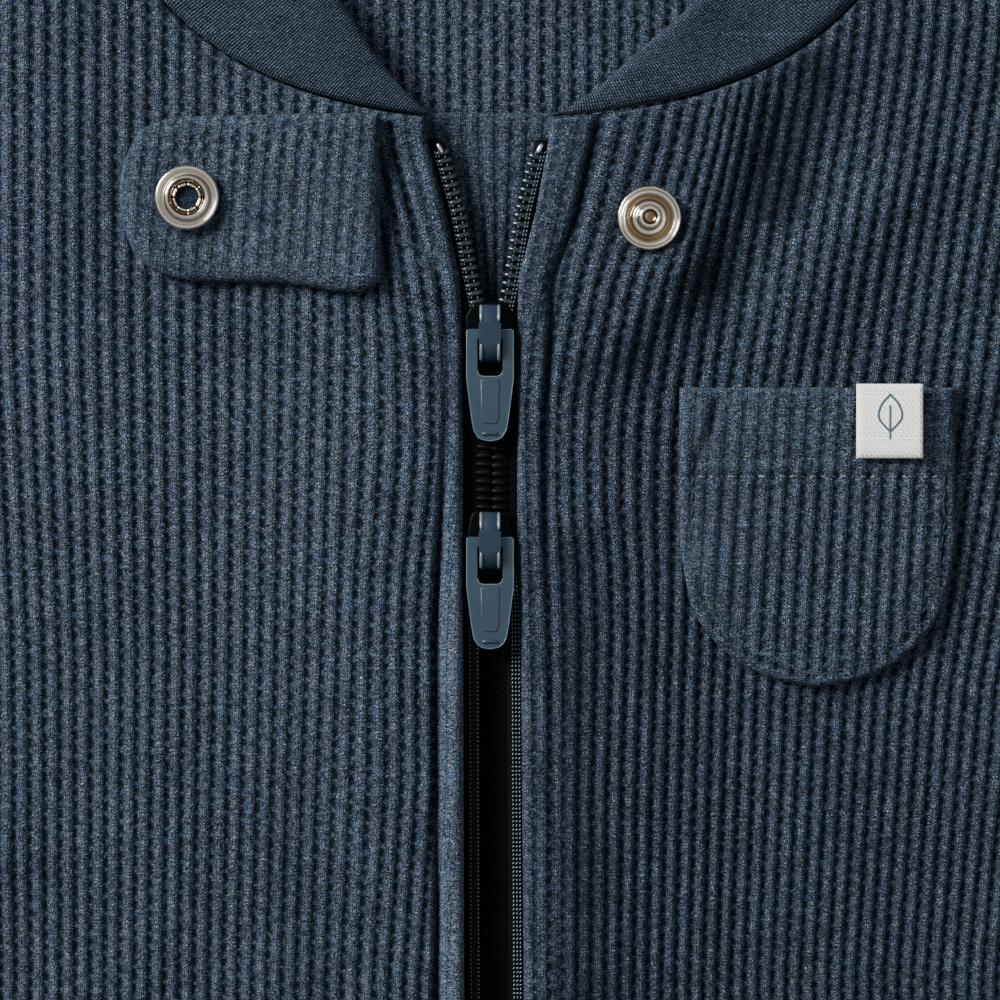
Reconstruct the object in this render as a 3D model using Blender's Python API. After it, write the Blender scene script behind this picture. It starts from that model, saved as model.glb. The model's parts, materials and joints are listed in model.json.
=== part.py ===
"""Baby's two-way zip sleeper in waffle knit, laid flat on its back, as closed solids.

Lengths are in millimetres and become metres where a mesh is made. x runs to the onlooker's
right, y towards the head and z up from the table. In the tables below y = 0 is the middle of the
front neck seam; the model's own origin lies under the middle of the whole garment. Right and
left are the wearer's, so the right side has negative x.
"""
import math
from collections import namedtuple

import bmesh
import bpy
from mathutils.geometry import delaunay_2d_cdt

MM = 0.001
GAP = 0.3                   # between pieces that meet at a seam or lie on each other
RIGHT, LEFT = -1, 1

# Cloth
CLOTH = 1.6                 # waffle knit, inside to the bottom of a groove
RIB_PITCH = 2.45
RIB_RISE = 0.6              # crest of a rib above its grooves
BAND_WALL = 2.0             # doubled rib knit of the neckband
SEAM_DROP = 0.8             # how far a panel's edge dips at a seam
SEAM_ROLL = 1.3             # over this width
FRONT_LOW = CLOTH + GAP     # inside of the front where it lies on the back
RIB_END_Y = -96.0           # above this the ribs have points more often

# Zip, from the table up
GUARD_WALL = 1.1
GUARD_RIB = 0.4
PLATE = 0.7                 # one plate of a slider
PLATE_LOW = FRONT_LOW + GUARD_WALL + GUARD_RIB + GAP
TAPE_LOW = PLATE_LOW + PLATE + GAP
TAPE = 1.0
COIL_RISE = 0.6             # coil above its tape
COIL_HALF = 0.95
COIL_FLAT = 0.4             # half width of the coil's flat top
TAPE_REACH = 10.4           # from the coil to the tape's outer edge
ZIP_LOW = TAPE_LOW + TAPE + GAP
UPPER_PLATE = TAPE_LOW + TAPE + COIL_RISE + GAP
ANKLE_LOW = 3.3             # the stack thins to this at the ankle
HUMP_FLAT = 11.6            # the front stays level this far out from the coil
HUMP_RUN = 30.0             # and comes down to the back over this

# Body outline
HPS_Y = 48.0                # neck point of the shoulder
NECK_BACK_Y = 37.0
NECK_TURN, NECK_TURN_RISE = 0.63, 3.5       # where the back neck turns up, and its rise there
BAND_TOP = 54.0
SHOULDER_X, SHOULDER_Y = 100.0, 30.0
UNDERARM_X, UNDERARM_Y = 126.0, -92.0
ARMHOLE_IN, ARMHOLE_DOWN = 8.0, 6.0         # bow of the armhole at its middle
CROTCH_X, CROTCH_Y = 3.0, -327.0
LEG_END_Y = -482.0
LEG_IN_X, LEG_OUT_X = 40.0, 97.0
CUFF_LONG = 28.0
CUFF_WALL = 1.7
CUFF_TOP = 2 * CUFF_WALL + GAP
ANKLE_CUFF_WIDE = 52.0
WRIST_CUFF_WIDE = 44.0
CUFF_TAPER = 1.0
MIDDLE_Y = (BAND_TOP + LEG_END_Y - GAP - CUFF_LONG) / 2

# Sleeves
SLEEVE_DROP = math.radians(38)
SLEEVE_LONG = 180.0
WRIST_WIDE = 50.0
WRIST_LOW = 8.0             # the wrist's upper edge lies this far below the shoulder's line
SLIT_SIDE = 3.0             # fold left beside the slit of a tube that is pressed flat
SLIT_PAST = 4.0             # how far the slit's cutter runs past the open ends

Side = namedtuple("Side", "y x")
SIDE_SEAM = [
    Side(y=UNDERARM_Y, x=UNDERARM_X),
    Side(y=-170, x=123.5),
    Side(y=-255, x=130),
    Side(y=-340, x=125),
    Side(y=-420, x=108),
    Side(y=LEG_END_Y, x=LEG_OUT_X),
]
INSEAM = [
    Side(y=LEG_END_Y, x=LEG_IN_X),
    Side(y=-420, x=29),
    Side(y=-360, x=16.5),
    Side(y=CROTCH_Y, x=CROTCH_X),
]

# Neck: half width and squareness of each side, and the free edge of the band from the zip out
Neck = namedtuple("Neck", "half power")
NECK = {RIGHT: Neck(half=61, power=2.2), LEFT: Neck(half=66, power=2.3)}
Edge = namedtuple("Edge", "x y")
BAND_EDGE = {
    RIGHT: [Edge(-9.6, 0.8), Edge(-13.9, 5.2), Edge(-17.7, 10), Edge(-23, 18.2), Edge(-34, 34),
            Edge(-47, BAND_TOP)],
    LEFT: [Edge(10.2, 0.8), Edge(16.4, 5.2), Edge(22.4, 10.6), Edge(31.5, 19), Edge(43, 34),
           Edge(53, BAND_TOP)],
}

# Zip: how far each coil and each folded edge stand from the zip's middle line
Zip = namedtuple("Zip", "y fold_right coil_right coil_left fold_left")
ZIP = [
    Zip(y=4, fold_right=10.6, coil_right=9.1, coil_left=8.2, fold_left=9.8),
    Zip(y=-4, fold_right=9.6, coil_right=7.9, coil_left=7.2, fold_left=8.4),
    Zip(y=-14, fold_right=7.0, coil_right=5.1, coil_left=4.7, fold_left=6.6),
    Zip(y=-24, fold_right=4.9, coil_right=3.2, coil_left=3.0, fold_left=4.0),
    Zip(y=-33, fold_right=4.4, coil_right=1.13, coil_left=1.13, fold_left=3.8),
    Zip(y=-64.5, fold_right=4.4, coil_right=1.13, coil_left=1.13, fold_left=3.8),
    Zip(y=-69, fold_right=4.4, coil_right=2.6, coil_left=2.6, fold_left=3.9),
    Zip(y=-75, fold_right=4.4, coil_right=2.9, coil_left=3.0, fold_left=4.3),
    Zip(y=-133, fold_right=4.2, coil_right=2.7, coil_left=3.3, fold_left=4.8),
    Zip(y=-400, fold_right=4.0, coil_right=2.4, coil_left=2.6, fold_left=4.2),
    Zip(y=-466, fold_right=3.4, coil_right=1.4, coil_left=1.4, fold_left=3.4),
]
ZIP_TOP_Y, ZIP_END_Y = -3.0, -468.0
ZIP_BEND_Y, ZIP_BEND_X = -225.0, 56.0      # below the first the zip runs out to the second
ZIP_SINK_Y = -425.0
OPEN_END_Y = -84.0                        # the zip's open parts lie above this
GUARD_TOP_Y, GUARD_END_Y = 1.6, -60.0
BACKING_END_Y = -428.0
GUARD_HALF = 12.5

# Folds of the front: straight ridges, each from (x1, y1) to (x2, y2)
Fold = namedtuple("Fold", "x1 y1 x2 y2 wide rise")
FOLDS = [
    Fold(x1=37, y1=2, x2=27, y2=-22, wide=7, rise=1.7),
    Fold(x1=27, y1=-22, x2=14, y2=-38, wide=6, rise=1.2),
    Fold(x1=62, y1=-8, x2=46, y2=-29, wide=8, rise=1.2),
    Fold(x1=-112, y1=-70, x2=-78, y2=-112, wide=7, rise=1.8),
    Fold(x1=110, y1=-64, x2=84, y2=-100, wide=8, rise=1.6),
    Fold(x1=-28, y1=-300, x2=-92, y2=-262, wide=8, rise=2.0),
    Fold(x1=44, y1=-318, x2=98, y2=-276, wide=8, rise=1.7),
    Fold(x1=-50, y1=-392, x2=-96, y2=-410, wide=7, rise=1.5),
    Fold(x1=62, y1=-408, x2=100, y2=-388, wide=6, rise=1.2),
]

# Ribs of the left front lean outwards above the pocket
LEAN_FOOT_Y = -52.0
LEAN_RUN = 24.0
LEAN_SLOPE = 0.33

# Tab, pocket and label
TAB_WALL = 2.4
TAB_ROOT_X, TAB_END_X = -16.8, -56.5
TAB_TOP_Y, TAB_LOW_Y = 0.6, -25.2
POCKET_X, POCKET_TOP_Y = 49.4, -40.5
POCKET_HALF, POCKET_DEEP = 21.0, 45.6
HEM_DEEP, HEM_EXTRA = 13.0, 0.5
LABEL_LEFT_X, LABEL_WIDE, LABEL_HIGH, LABEL_WALL = 55.0, 10.0, 11.2, 1.0
LABEL_TOP_Y = POCKET_TOP_Y + 0.4

# Sliders: the bar of each pull, and its direction of closing
SLIDER_X = -0.3
UPPER_BAR_Y, LOWER_BAR_Y = -32.6, -63.9
SHOULDER_HALF, TAIL_HALF = 3.65, 2.8
BODY_AHEAD, BODY_BEHIND = 5.0, 4.6
CROWN_HALF = 1.55
WEDGE_HALF = 0.5            # wedge between the plates that parts the coils
PULL_WALL = 1.2
PULL_LOW = UPPER_PLATE + PLATE + GAP
BAR_Z = PULL_LOW + PULL_WALL / 2
CROWN_ROOF = BAR_Z + 1.0
CROWN_WALL = 0.9
PULL_TOP, PULL_LONG = 0.75, 16.2
PULL_HALF, PULL_END_HALF = 3.6, 2.2
WINDOW_HALF, WINDOW_TOP, WINDOW_END = 1.9, 0.75, 6.4

# Snaps
SOCKET_X, SOCKET_Y = -46.0, -12.0
STUD_X, STUD_Y = 23.7, -15.1
SNAP_FLAT = 7.0             # ribs are pressed flat inside this radius
SNAP_ROWS = 5.5             # and have points this far above and below the stud
Ring = namedtuple("Ring", "radius height")
SOCKET_RINGS = [
    Ring(4.4, 0.0), Ring(4.9, 0.5), Ring(4.7, 1.1), Ring(4.2, 1.2), Ring(3.9, 0.9),
    Ring(2.9, 1.7), Ring(2.6, 1.6), Ring(2.4, 0.9), Ring(1.7, 0.8),
]
STUD_RINGS = [
    Ring(4.4, 0.0), Ring(4.9, 0.5), Ring(4.7, 1.1), Ring(4.2, 1.2), Ring(3.9, 1.0),
    Ring(2.6, 0.7), Ring(2.3, 1.1), Ring(1.9, 1.2), Ring(1.6, 2.6), Ring(1.2, 3.0), Ring(0.8, 2.8),
]
SNAP_SIDES = 24
SNAP_SEAT = 0.3             # room under a snap's foot for the cloth's unevenness


def smooth(t):
    t = min(max(t, 0.0), 1.0)
    return t * t * (3 - 2 * t)


def between(rows, y, name):
    """A column of a table at height y, straight between its rows, which run downwards."""
    if y >= rows[0].y:
        return getattr(rows[0], name)
    for upper, lower in zip(rows, rows[1:]):
        if y >= lower.y:
            t = (upper.y - y) / (upper.y - lower.y)
            return getattr(upper, name) * (1 - t) + getattr(lower, name) * t
    return getattr(rows[-1], name)


def curve(points, step):
    """A smooth line through the points, with a point about every step."""
    ends = [points[0]] + list(points) + [points[-1]]
    line = []
    for a, b, c, d in zip(ends, ends[1:], ends[2:], ends[3:]):
        count = max(1, round(math.dist(b, c) / step))
        for i in range(count):
            t = i / count
            line.append(tuple(
                0.5 * (2 * b[k] + (c[k] - a[k]) * t
                       + (2 * a[k] - 5 * b[k] + 4 * c[k] - d[k]) * t ** 2
                       + (3 * b[k] - a[k] - 3 * c[k] + d[k]) * t ** 3)
                for k in (0, 1)))
    line.append(tuple(points[-1]))
    return line


def run(start, end, step):
    """A straight line from start to end, with a point about every step."""
    count = max(1, round(math.dist(start, end) / step))
    return [tuple(start[k] + (end[k] - start[k]) * i / count for k in (0, 1))
            for i in range(count + 1)]


def joined(*lines):
    """One closed outline from lines that follow each other, without doubled points."""
    loop = []
    for line in lines:
        for point in line:
            if not loop or math.dist(loop[-1], point) > 0.2:
                loop.append(point)
    if math.dist(loop[0], loop[-1]) <= 0.2:
        loop.pop()
    area = sum(a[0] * b[1] - b[0] * a[1] for a, b in zip(loop, loop[1:] + loop[:1]))
    return loop if area > 0 else loop[::-1]


def inset(loop, width):
    """The outline moved inwards by width; a negative width moves it out."""
    moved = []
    for before, here, after in zip(loop[-1:] + loop[:-1], loop, loop[1:] + loop[:1]):
        sides = []
        for a, b in ((before, here), (here, after)):
            length = math.dist(a, b)
            sides.append(((a[1] - b[1]) / length, (b[0] - a[0]) / length))
        nx, ny = sides[0][0] + sides[1][0], sides[0][1] + sides[1][1]
        square = max(nx * nx + ny * ny, 1.0)
        moved.append((here[0] + 2 * width * nx / square, here[1] + 2 * width * ny / square))
    return moved


def inside(loop, x, y):
    hit = False
    for (ax, ay), (bx, by) in zip(loop, loop[1:] + loop[:1]):
        if (ay > y) != (by > y) and x < ax + (y - ay) * (bx - ax) / (by - ay):
            hit = not hit
    return hit


def triangles(loops, lines=()):
    """Triangles that fill the first loop, less the others, and keep every line's edges.

    Gives the points, the triangles and the place of each point asked for.
    """
    points, edges = [], []
    for loop in loops:
        first = len(points)
        points += loop
        edges += [(first + i, first + (i + 1) % len(loop)) for i in range(len(loop))]
    for line in lines:
        first = len(points)
        points += line
        edges += [(first + i, first + i + 1) for i in range(len(line) - 1)]
    made, _, faces, source, _, _ = delaunay_2d_cdt(points, edges, [], 1, 1e-5)
    place = {old: new for new, olds in enumerate(source) for old in olds}
    kept = []
    for face in faces:
        middle = [sum(made[i][k] for i in face) / 3 for k in (0, 1)]
        if not any(inside(hole, *middle) for hole in loops[1:]):
            kept.append(list(face))
    return [tuple(point) for point in made], kept, place


def zip_middle(y):
    return ZIP_BEND_X * smooth((ZIP_BEND_Y - y) / (ZIP_BEND_Y - LEG_END_Y))


def coil_x(side, y):
    return zip_middle(y) + side * between(ZIP, y, "coil_left" if side == LEFT else "coil_right")


def fold_x(side, y):
    return zip_middle(y) + side * between(ZIP, y, "fold_left" if side == LEFT else "fold_right")


def zip_low(y):
    """Inside of the front beside the zip."""
    return ZIP_LOW + (ANKLE_LOW - ZIP_LOW) * smooth((ZIP_SINK_Y - y) / (ZIP_SINK_Y - ZIP_END_Y))


def lift(x, y):
    """Inside of the front: on the back, over the zip, and raised in the folds."""
    side = LEFT if x > zip_middle(y) else RIGHT
    away = side * (x - coil_x(side, y))
    high = 1 - smooth((away - HUMP_FLAT) / HUMP_RUN)
    rise = 0.0
    for fold in FOLDS:
        dx, dy = fold.x2 - fold.x1, fold.y2 - fold.y1
        t = ((x - fold.x1) * dx + (y - fold.y1) * dy) / (dx * dx + dy * dy)
        t = min(max(t, 0.0), 1.0)
        far = math.hypot(x - fold.x1 - t * dx, y - fold.y1 - t * dy)
        rise += fold.rise * math.exp(-(far / fold.wide) ** 2)
    return FRONT_LOW + (zip_low(y) - FRONT_LOW) * high + rise * (1 - high)


def rib_height(x, y):
    """Share of the ribs' full rise: none beside the zip's folded edge or under a snap."""
    side = LEFT if x > zip_middle(y) else RIGHT
    share = smooth((side * (x - fold_x(side, y)) - 1) / 5)
    if math.hypot(x - STUD_X, y - STUD_Y) < SNAP_FLAT:
        share = 0.0
    return share


def on_front(x, y):
    """Underside of what lies on the front, clear of its rib crests."""
    return lift(x, y) + CLOTH + RIB_RISE + GAP


def lean(x, y):
    """Sideways shift of the left front's ribs above the pocket."""
    t = max((y - LEAN_FOOT_Y) / LEAN_RUN, 0.0)
    return LEAN_SLOPE * LEAN_RUN * (t * t / 2 if t < 1 else t - 0.5)


def colour(name, srgb, roughness, metallic=0.0):
    material = bpy.data.materials.new(name)
    material.use_nodes = True
    shader = material.node_tree.nodes["Principled BSDF"]
    linear = [(c / 255) ** 2.2 for c in srgb]
    shader.inputs["Base Color"].default_value = (*linear, 1)
    shader.inputs["Roughness"].default_value = roughness
    shader.inputs["Metallic"].default_value = metallic
    material.diffuse_color = (*linear, 1)
    return material


def add_object(name, points, faces, material, origin=(0, 0, 0)):
    """An object from points in millimetres; its own origin lies at the given place."""
    mesh = bpy.data.meshes.new(name)
    places = [((x - origin[0]) * MM, (y - origin[1]) * MM, (z - origin[2]) * MM)
              for x, y, z in points]
    mesh.from_pydata(places, [], faces)
    mesh.materials.append(material)
    item = bpy.data.objects.new(name, mesh)
    item.location = (origin[0] * MM, (origin[1] - MIDDLE_Y) * MM, origin[2] * MM)
    bpy.context.scene.collection.objects.link(item)
    return item


def oblong(x_low, y_low, x_high, y_high, step):
    """Upright rectangle with a point about every step."""
    corners = [(x_low, y_low), (x_high, y_low), (x_high, y_high), (x_low, y_high)]
    return joined(*[run(a, b, step) for a, b in zip(corners, corners[1:] + corners[:1])])


def clear_of(loop, point, width):
    """Whether the point lies inside the loop and at least width from it."""
    x, y = point
    for (ax, ay), (bx, by) in zip(loop, loop[1:] + loop[:1]):
        dx, dy = bx - ax, by - ay
        t = min(max(((x - ax) * dx + (y - ay) * dy) / (dx * dx + dy * dy), 0.0), 1.0)
        if math.hypot(x - ax - t * dx, y - ay - t * dy) < width:
            return False
    return inside(loop, x, y)


def wall(name, outline, top, under, material, columns=(), coarse=24.0, drop=SEAM_DROP, place=None,
         held=()):
    """A cloth wall with a shaped top over a plain inside.

    top(x, y, crest) and under(x, y) give heights. columns are the lines of the rib crests and
    grooves, each a list of points and its crest share. held are points that the inside keeps.
    place turns the flat pattern's points.
    """
    ring = [[spot] for spot in inset(outline, SEAM_ROLL) if clear_of(outline, spot, 0.8 * SEAM_ROLL)]
    flat, top_faces, top_place = triangles([outline], ring + [line for line, _ in columns])
    crests = {}
    asked = len(outline) + len(ring)
    for line, crest in columns:
        crests.update({top_place[asked + i]: crest for i in range(len(line))})
        asked += len(line)
    rim = {top_place[i] for i in range(len(outline))}
    points = [(x, y, top(x, y, crests.get(i, 0.0)) - (drop if i in rim else 0.0))
              for i, (x, y) in enumerate(flat)]
    spots = [[spot] for spot in grid_inside(outline, coarse) if clear_of(outline, spot, coarse / 3)]
    spots += [[spot] for spot in held if clear_of(outline, spot, SEAM_ROLL)]
    low_flat, low_faces, low_place = triangles([outline], spots)
    first = len(points)
    points += [(x, y, under(x, y)) for x, y in low_flat]
    faces = top_faces + [[first + i for i in reversed(face)] for face in low_faces]
    for i in range(len(outline)):
        j = (i + 1) % len(outline)
        faces.append([first + low_place[i], first + low_place[j], top_place[j], top_place[i]])
    if place:
        points = [(*place(x, y), z) for x, y, z in points]
    return add_object(name, points, faces, material)


def grid_inside(loop, step):
    """Points of an even grid that lie inside the loop."""
    xs, ys = [p[0] for p in loop], [p[1] for p in loop]
    spots = []
    for row in range(int(min(ys) // step), int(max(ys) // step) + 1):
        for column in range(int(min(xs) // step), int(max(xs) // step) + 1):
            x, y = (column + 0.5) * step, (row + 0.5) * step
            if inside(loop, x, y):
                spots.append((x, y))
    return spots


def rib_columns(outline, rows, shift=None):
    """Crest and groove lines along y, cut where they leave the outline."""
    room = inset(outline, SEAM_ROLL + 0.5)
    xs = [p[0] for p in room]
    half = RIB_PITCH / 2
    reach = shift(0, rows[0]) if shift else 0
    columns = []
    for k in range(int((min(xs) - reach) // half), int(max(xs) // half) + 2):
        path = [(k * half + (shift(k * half, y) if shift else 0.0), y) for y in rows]
        line = []
        for a, b in zip(path, path[1:]):
            a_in, b_in = inside(room, *a), inside(room, *b)
            if a_in:
                line.append(a)
            if a_in != b_in:
                line.append(crossing(room, a, b, a_in))
            if line and not b_in:
                columns.append((spaced(line), float(k % 2)))
                line = []
        if line:
            columns.append((spaced(line + [path[-1]]), float(k % 2)))
    return [column for column in columns if len(column[0]) > 1]


def spaced(line):
    """The line without points that nearly coincide."""
    kept = [line[0]]
    for point in line[1:]:
        if math.dist(kept[-1], point) > 0.6:
            kept.append(point)
    return kept


def crossing(room, a, b, a_in):
    """Where the stretch from a to b crosses the outline."""
    low, high = 0.0, 1.0
    for _ in range(16):
        t = (low + high) / 2
        if inside(room, a[0] + (b[0] - a[0]) * t, a[1] + (b[1] - a[1]) * t) == a_in:
            low = t
        else:
            high = t
    return a[0] + (b[0] - a[0]) * low, a[1] + (b[1] - a[1]) * low


def steps(start, end, step):
    """Levels from start to end about a step apart."""
    count = max(1, round(abs(end - start) / step))
    return [start + (end - start) * i / count for i in range(count + 1)]


def slab(name, outline, low, high, material, holes=(), bevel=0.0, origin=(0, 0, 0)):
    """A flat piece between two levels, with its rims bevelled."""
    points, faces, caps = [], [], {}
    levels = [(low, bevel), (low + bevel, 0), (high - bevel, 0), (high, bevel)]
    if not bevel:
        levels = [(low, 0), (high, 0)]
    loops = [outline] + [hole[::-1] for hole in holes]
    for loop in loops:
        rings = []
        for z, back in levels:
            first = len(points)
            points += [(x, y, z) for x, y in (inset(loop, back) if back else loop)]
            rings.append(list(range(first, len(points))))
        for lower, upper in zip(rings, rings[1:]):
            for i in range(len(loop)):
                j = (i + 1) % len(loop)
                faces.append([lower[i], lower[j], upper[j], upper[i]])
        caps.setdefault("low", []).append(rings[0])
        caps.setdefault("high", []).append(rings[-1])
    for level, flip in (("low", True), ("high", False)):
        numbers = [i for ring in caps[level] for i in ring]
        flat = [[points[i][:2] for i in ring] for ring in caps[level]]
        _, made, place = triangles(flat)
        asked = {new: old for old, new in place.items()}
        for face in made:
            turned = face[::-1] if flip else face
            faces.append([numbers[asked[i]] for i in turned])
    return add_object(name, points, faces, material, origin)


def neck_seam(side, step=8.0):
    """Front neck seam from the zip out to the shoulder."""
    neck = NECK[side]
    start = math.asin((abs(fold_x(side, 0)) / neck.half) ** (neck.power / 2))
    turn = math.pi / 2 - start
    count = round(turn * neck.half * 1.1 / step)
    line = []
    for i in range(count + 1):
        angle = start + turn * i / count
        line.append((side * neck.half * math.sin(angle) ** (2 / neck.power),
                     HPS_Y * (1 - max(math.cos(angle), 0.0) ** (2 / neck.power))))
    return line


def fold_edge(side):
    """Folded edge of the front along the zip, from the neck down to the ankle."""
    top_y = neck_seam(side)[0][1]
    levels = [top_y] + steps(-4, OPEN_END_Y, 5) + steps(OPEN_END_Y - 26, LEG_END_Y, 15)
    return [(fold_x(side, y), y) for y in levels]


def side_seam(side, step=22.0):
    return curve([(side * row.x, row.y) for row in SIDE_SEAM], step)


def inseam(side, step=16.0):
    return curve([(side * row.x, row.y) for row in INSEAM], step)


def armhole(side, step=10.0):
    middle_x = (SHOULDER_X + UNDERARM_X) / 2 - ARMHOLE_IN
    middle_y = (SHOULDER_Y + UNDERARM_Y) / 2 - ARMHOLE_DOWN
    return curve([(side * SHOULDER_X, SHOULDER_Y), (side * middle_x, middle_y),
                  (side * UNDERARM_X, UNDERARM_Y)], step)


def shoulder(side):
    return run((side * NECK[side].half, HPS_Y), (side * SHOULDER_X, SHOULDER_Y), 10)


def leg_end(side, inner, outer):
    return run((side * outer, LEG_END_Y), (side * inner, LEG_END_Y), 10)


def right_front_outline():
    """The right front runs on past the crotch, because the zip goes down the left leg."""
    return joined(
        neck_seam(RIGHT), shoulder(RIGHT), armhole(RIGHT), side_seam(RIGHT),
        leg_end(RIGHT, LEG_IN_X, LEG_OUT_X), inseam(RIGHT), inseam(LEFT)[::-1],
        run((LEG_IN_X, LEG_END_Y), (fold_x(RIGHT, LEG_END_Y), LEG_END_Y), 5),
        fold_edge(RIGHT)[::-1])


def left_front_outline():
    return joined(
        neck_seam(LEFT), shoulder(LEFT), armhole(LEFT), side_seam(LEFT),
        run((LEG_OUT_X, LEG_END_Y), (fold_x(LEFT, LEG_END_Y), LEG_END_Y), 8),
        fold_edge(LEFT)[::-1])


def back_neck(up, step=10.0):
    """Back neck seam from the right shoulder to the left, moved up."""
    turn_y = NECK_BACK_Y + NECK_TURN_RISE
    points = [(-NECK[RIGHT].half, HPS_Y), (-NECK[RIGHT].half * NECK_TURN, turn_y),
              (0, NECK_BACK_Y),
              (NECK[LEFT].half * NECK_TURN, turn_y), (NECK[LEFT].half, HPS_Y)]
    return curve([(x, y + up) for x, y in points], step)


def back_outline():
    return joined(
        back_neck(0), shoulder(LEFT), armhole(LEFT), side_seam(LEFT, 30),
        leg_end(LEFT, LEG_IN_X, LEG_OUT_X), inseam(LEFT, 22), inseam(RIGHT, 22)[::-1],
        leg_end(RIGHT, LEG_IN_X, LEG_OUT_X)[::-1], side_seam(RIGHT, 30)[::-1],
        armhole(RIGHT)[::-1], shoulder(RIGHT)[::-1])


def add_fronts(cloth):
    rows = steps(HPS_Y + 4, RIB_END_Y, 14) + steps(RIB_END_Y, LEG_END_Y - 4, 48)[1:]
    rows += [STUD_Y + SNAP_ROWS, STUD_Y, STUD_Y - SNAP_ROWS]
    rows.sort(reverse=True)
    for name, side, outline, shift in (("front_right", RIGHT, right_front_outline(), None),
                                       ("front_left", LEFT, left_front_outline(), lean)):
        columns = rib_columns(outline, rows, shift)
        tape_side = [(coil_x(side, y) + side * out, y) for y in [-ZIP_TOP_Y] + zip_levels()
                     for out in (HUMP_FLAT / 2, HUMP_FLAT + GAP)]
        wall(name, outline,
             lambda x, y, crest: lift(x, y) + CLOTH + RIB_RISE * crest * rib_height(x, y),
             lift, cloth, columns, coarse=14, held=tape_side)


def add_back(cloth):
    slab("back", back_outline(), 0, CLOTH, cloth)


def band_piece(side):
    seam = [(x - side * GAP * 0.6, y + GAP) for x, y in neck_seam(side, 6)]
    edge = curve(BAND_EDGE[side], 7)
    return joined(seam, edge[::-1])


def add_neckband(ribbing):
    """The band is cut in three where the shoulders and the zip part it."""
    for name, side in (("neckband_right", RIGHT), ("neckband_left", LEFT)):
        wall(name, band_piece(side), lambda x, y, crest: lift(x, y) + BAND_WALL,
             lift, ribbing, coarse=9, drop=0.9)
    edge = curve([BAND_EDGE[RIGHT][-1], (0, BAND_TOP - 2), BAND_EDGE[LEFT][-1]], 9)
    wall("neckband_back", joined(back_neck(GAP), edge[::-1]), lambda x, y, crest: CLOTH,
         lambda x, y: 0.0, ribbing, coarse=9, drop=0.5)


def slit(item, outline, low, high):
    """Opens a tube that is pressed flat: a cut from end to end between its two layers."""
    cutter = slab(item.name + "_slit", outline, low, high, item.data.materials[0])
    cutter.hide_render = True
    cutter.display_type = "WIRE"
    cut = item.modifiers.new("slit", "BOOLEAN")
    cut.operation = "DIFFERENCE"
    cut.object = cutter
    cut.solver = "EXACT"


def sleeve_frame(side):
    """Turns sleeve points (across, along) into the garment's: along runs down the arm."""
    along = (side * math.cos(SLEEVE_DROP), -math.sin(SLEEVE_DROP))
    across = (-side * math.sin(SLEEVE_DROP), -math.cos(SLEEVE_DROP))

    def place(u, v):
        return (side * SHOULDER_X + across[0] * u + along[0] * v,
                SHOULDER_Y + across[1] * u + along[1] * v)

    def back(x, y):
        dx, dy = x - side * SHOULDER_X, y - SHOULDER_Y
        return dx * across[0] + dy * across[1], dx * along[0] + dy * along[1]

    return place, back


def add_sleeves(cloth, ribbing):
    for name, side in (("right", RIGHT), ("left", LEFT)):
        place, back = sleeve_frame(side)
        head = [back(x, y) for x, y in armhole(side)]
        head = [(u, v + GAP) for u, v in head]
        under_u, under_v = head[-1]
        wrist_u = WRIST_LOW + WRIST_WIDE
        half_v = (under_v + SLEEVE_LONG) / 2
        top_edge = curve([(0, GAP), (-2.5, SLEEVE_LONG / 2), (WRIST_LOW, SLEEVE_LONG)], 20)
        low_edge = curve([(under_u, under_v), (under_u - 9, half_v), (wrist_u, SLEEVE_LONG)], 20)
        wrist = run((WRIST_LOW, SLEEVE_LONG), (wrist_u, SLEEVE_LONG), 10)
        outline = joined(head, low_edge, wrist[::-1], top_edge[::-1])
        rows = steps(-5, SLEEVE_LONG + 5, 27)
        tube = 2 * CLOTH + GAP
        item = wall("sleeve_" + name, outline,
                    lambda x, y, crest: tube + RIB_RISE * crest, lambda x, y: 0.0,
                    cloth, rib_columns(outline, rows), coarse=40, drop=1.6, place=place)
        if side == LEFT:
            item.data.flip_normals()
        head_v = min(v for u, v in head) - SLIT_PAST
        end_v = SLEEVE_LONG + SLIT_PAST
        cut_line = [(SLIT_SIDE, head_v), (under_u - SLIT_SIDE, head_v),
                    (under_u - SLIT_SIDE, under_v), (under_u - 9 - SLIT_SIDE, half_v),
                    (wrist_u - SLIT_SIDE, end_v), (WRIST_LOW + SLIT_SIDE, end_v)]
        slit(item, joined([place(u, v) for u, v in cut_line]), CLOTH, CLOTH + GAP)
        cuff_u = WRIST_LOW + (WRIST_WIDE - WRIST_CUFF_WIDE) / 2
        cuff = cuff_corners(cuff_u, cuff_u + WRIST_CUFF_WIDE, SLEEVE_LONG + GAP, CUFF_LONG)
        add_cuff("wrist_cuff_" + name, [place(u, v) for u, v in cuff], ribbing)


def cuff_corners(low, high, root, reach):
    """Corners of a cuff that reaches away from its seam and narrows a little."""
    end = root + reach
    return [(low, root), (high, root), (high - CUFF_TAPER, end), (low + CUFF_TAPER, end)]


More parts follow.
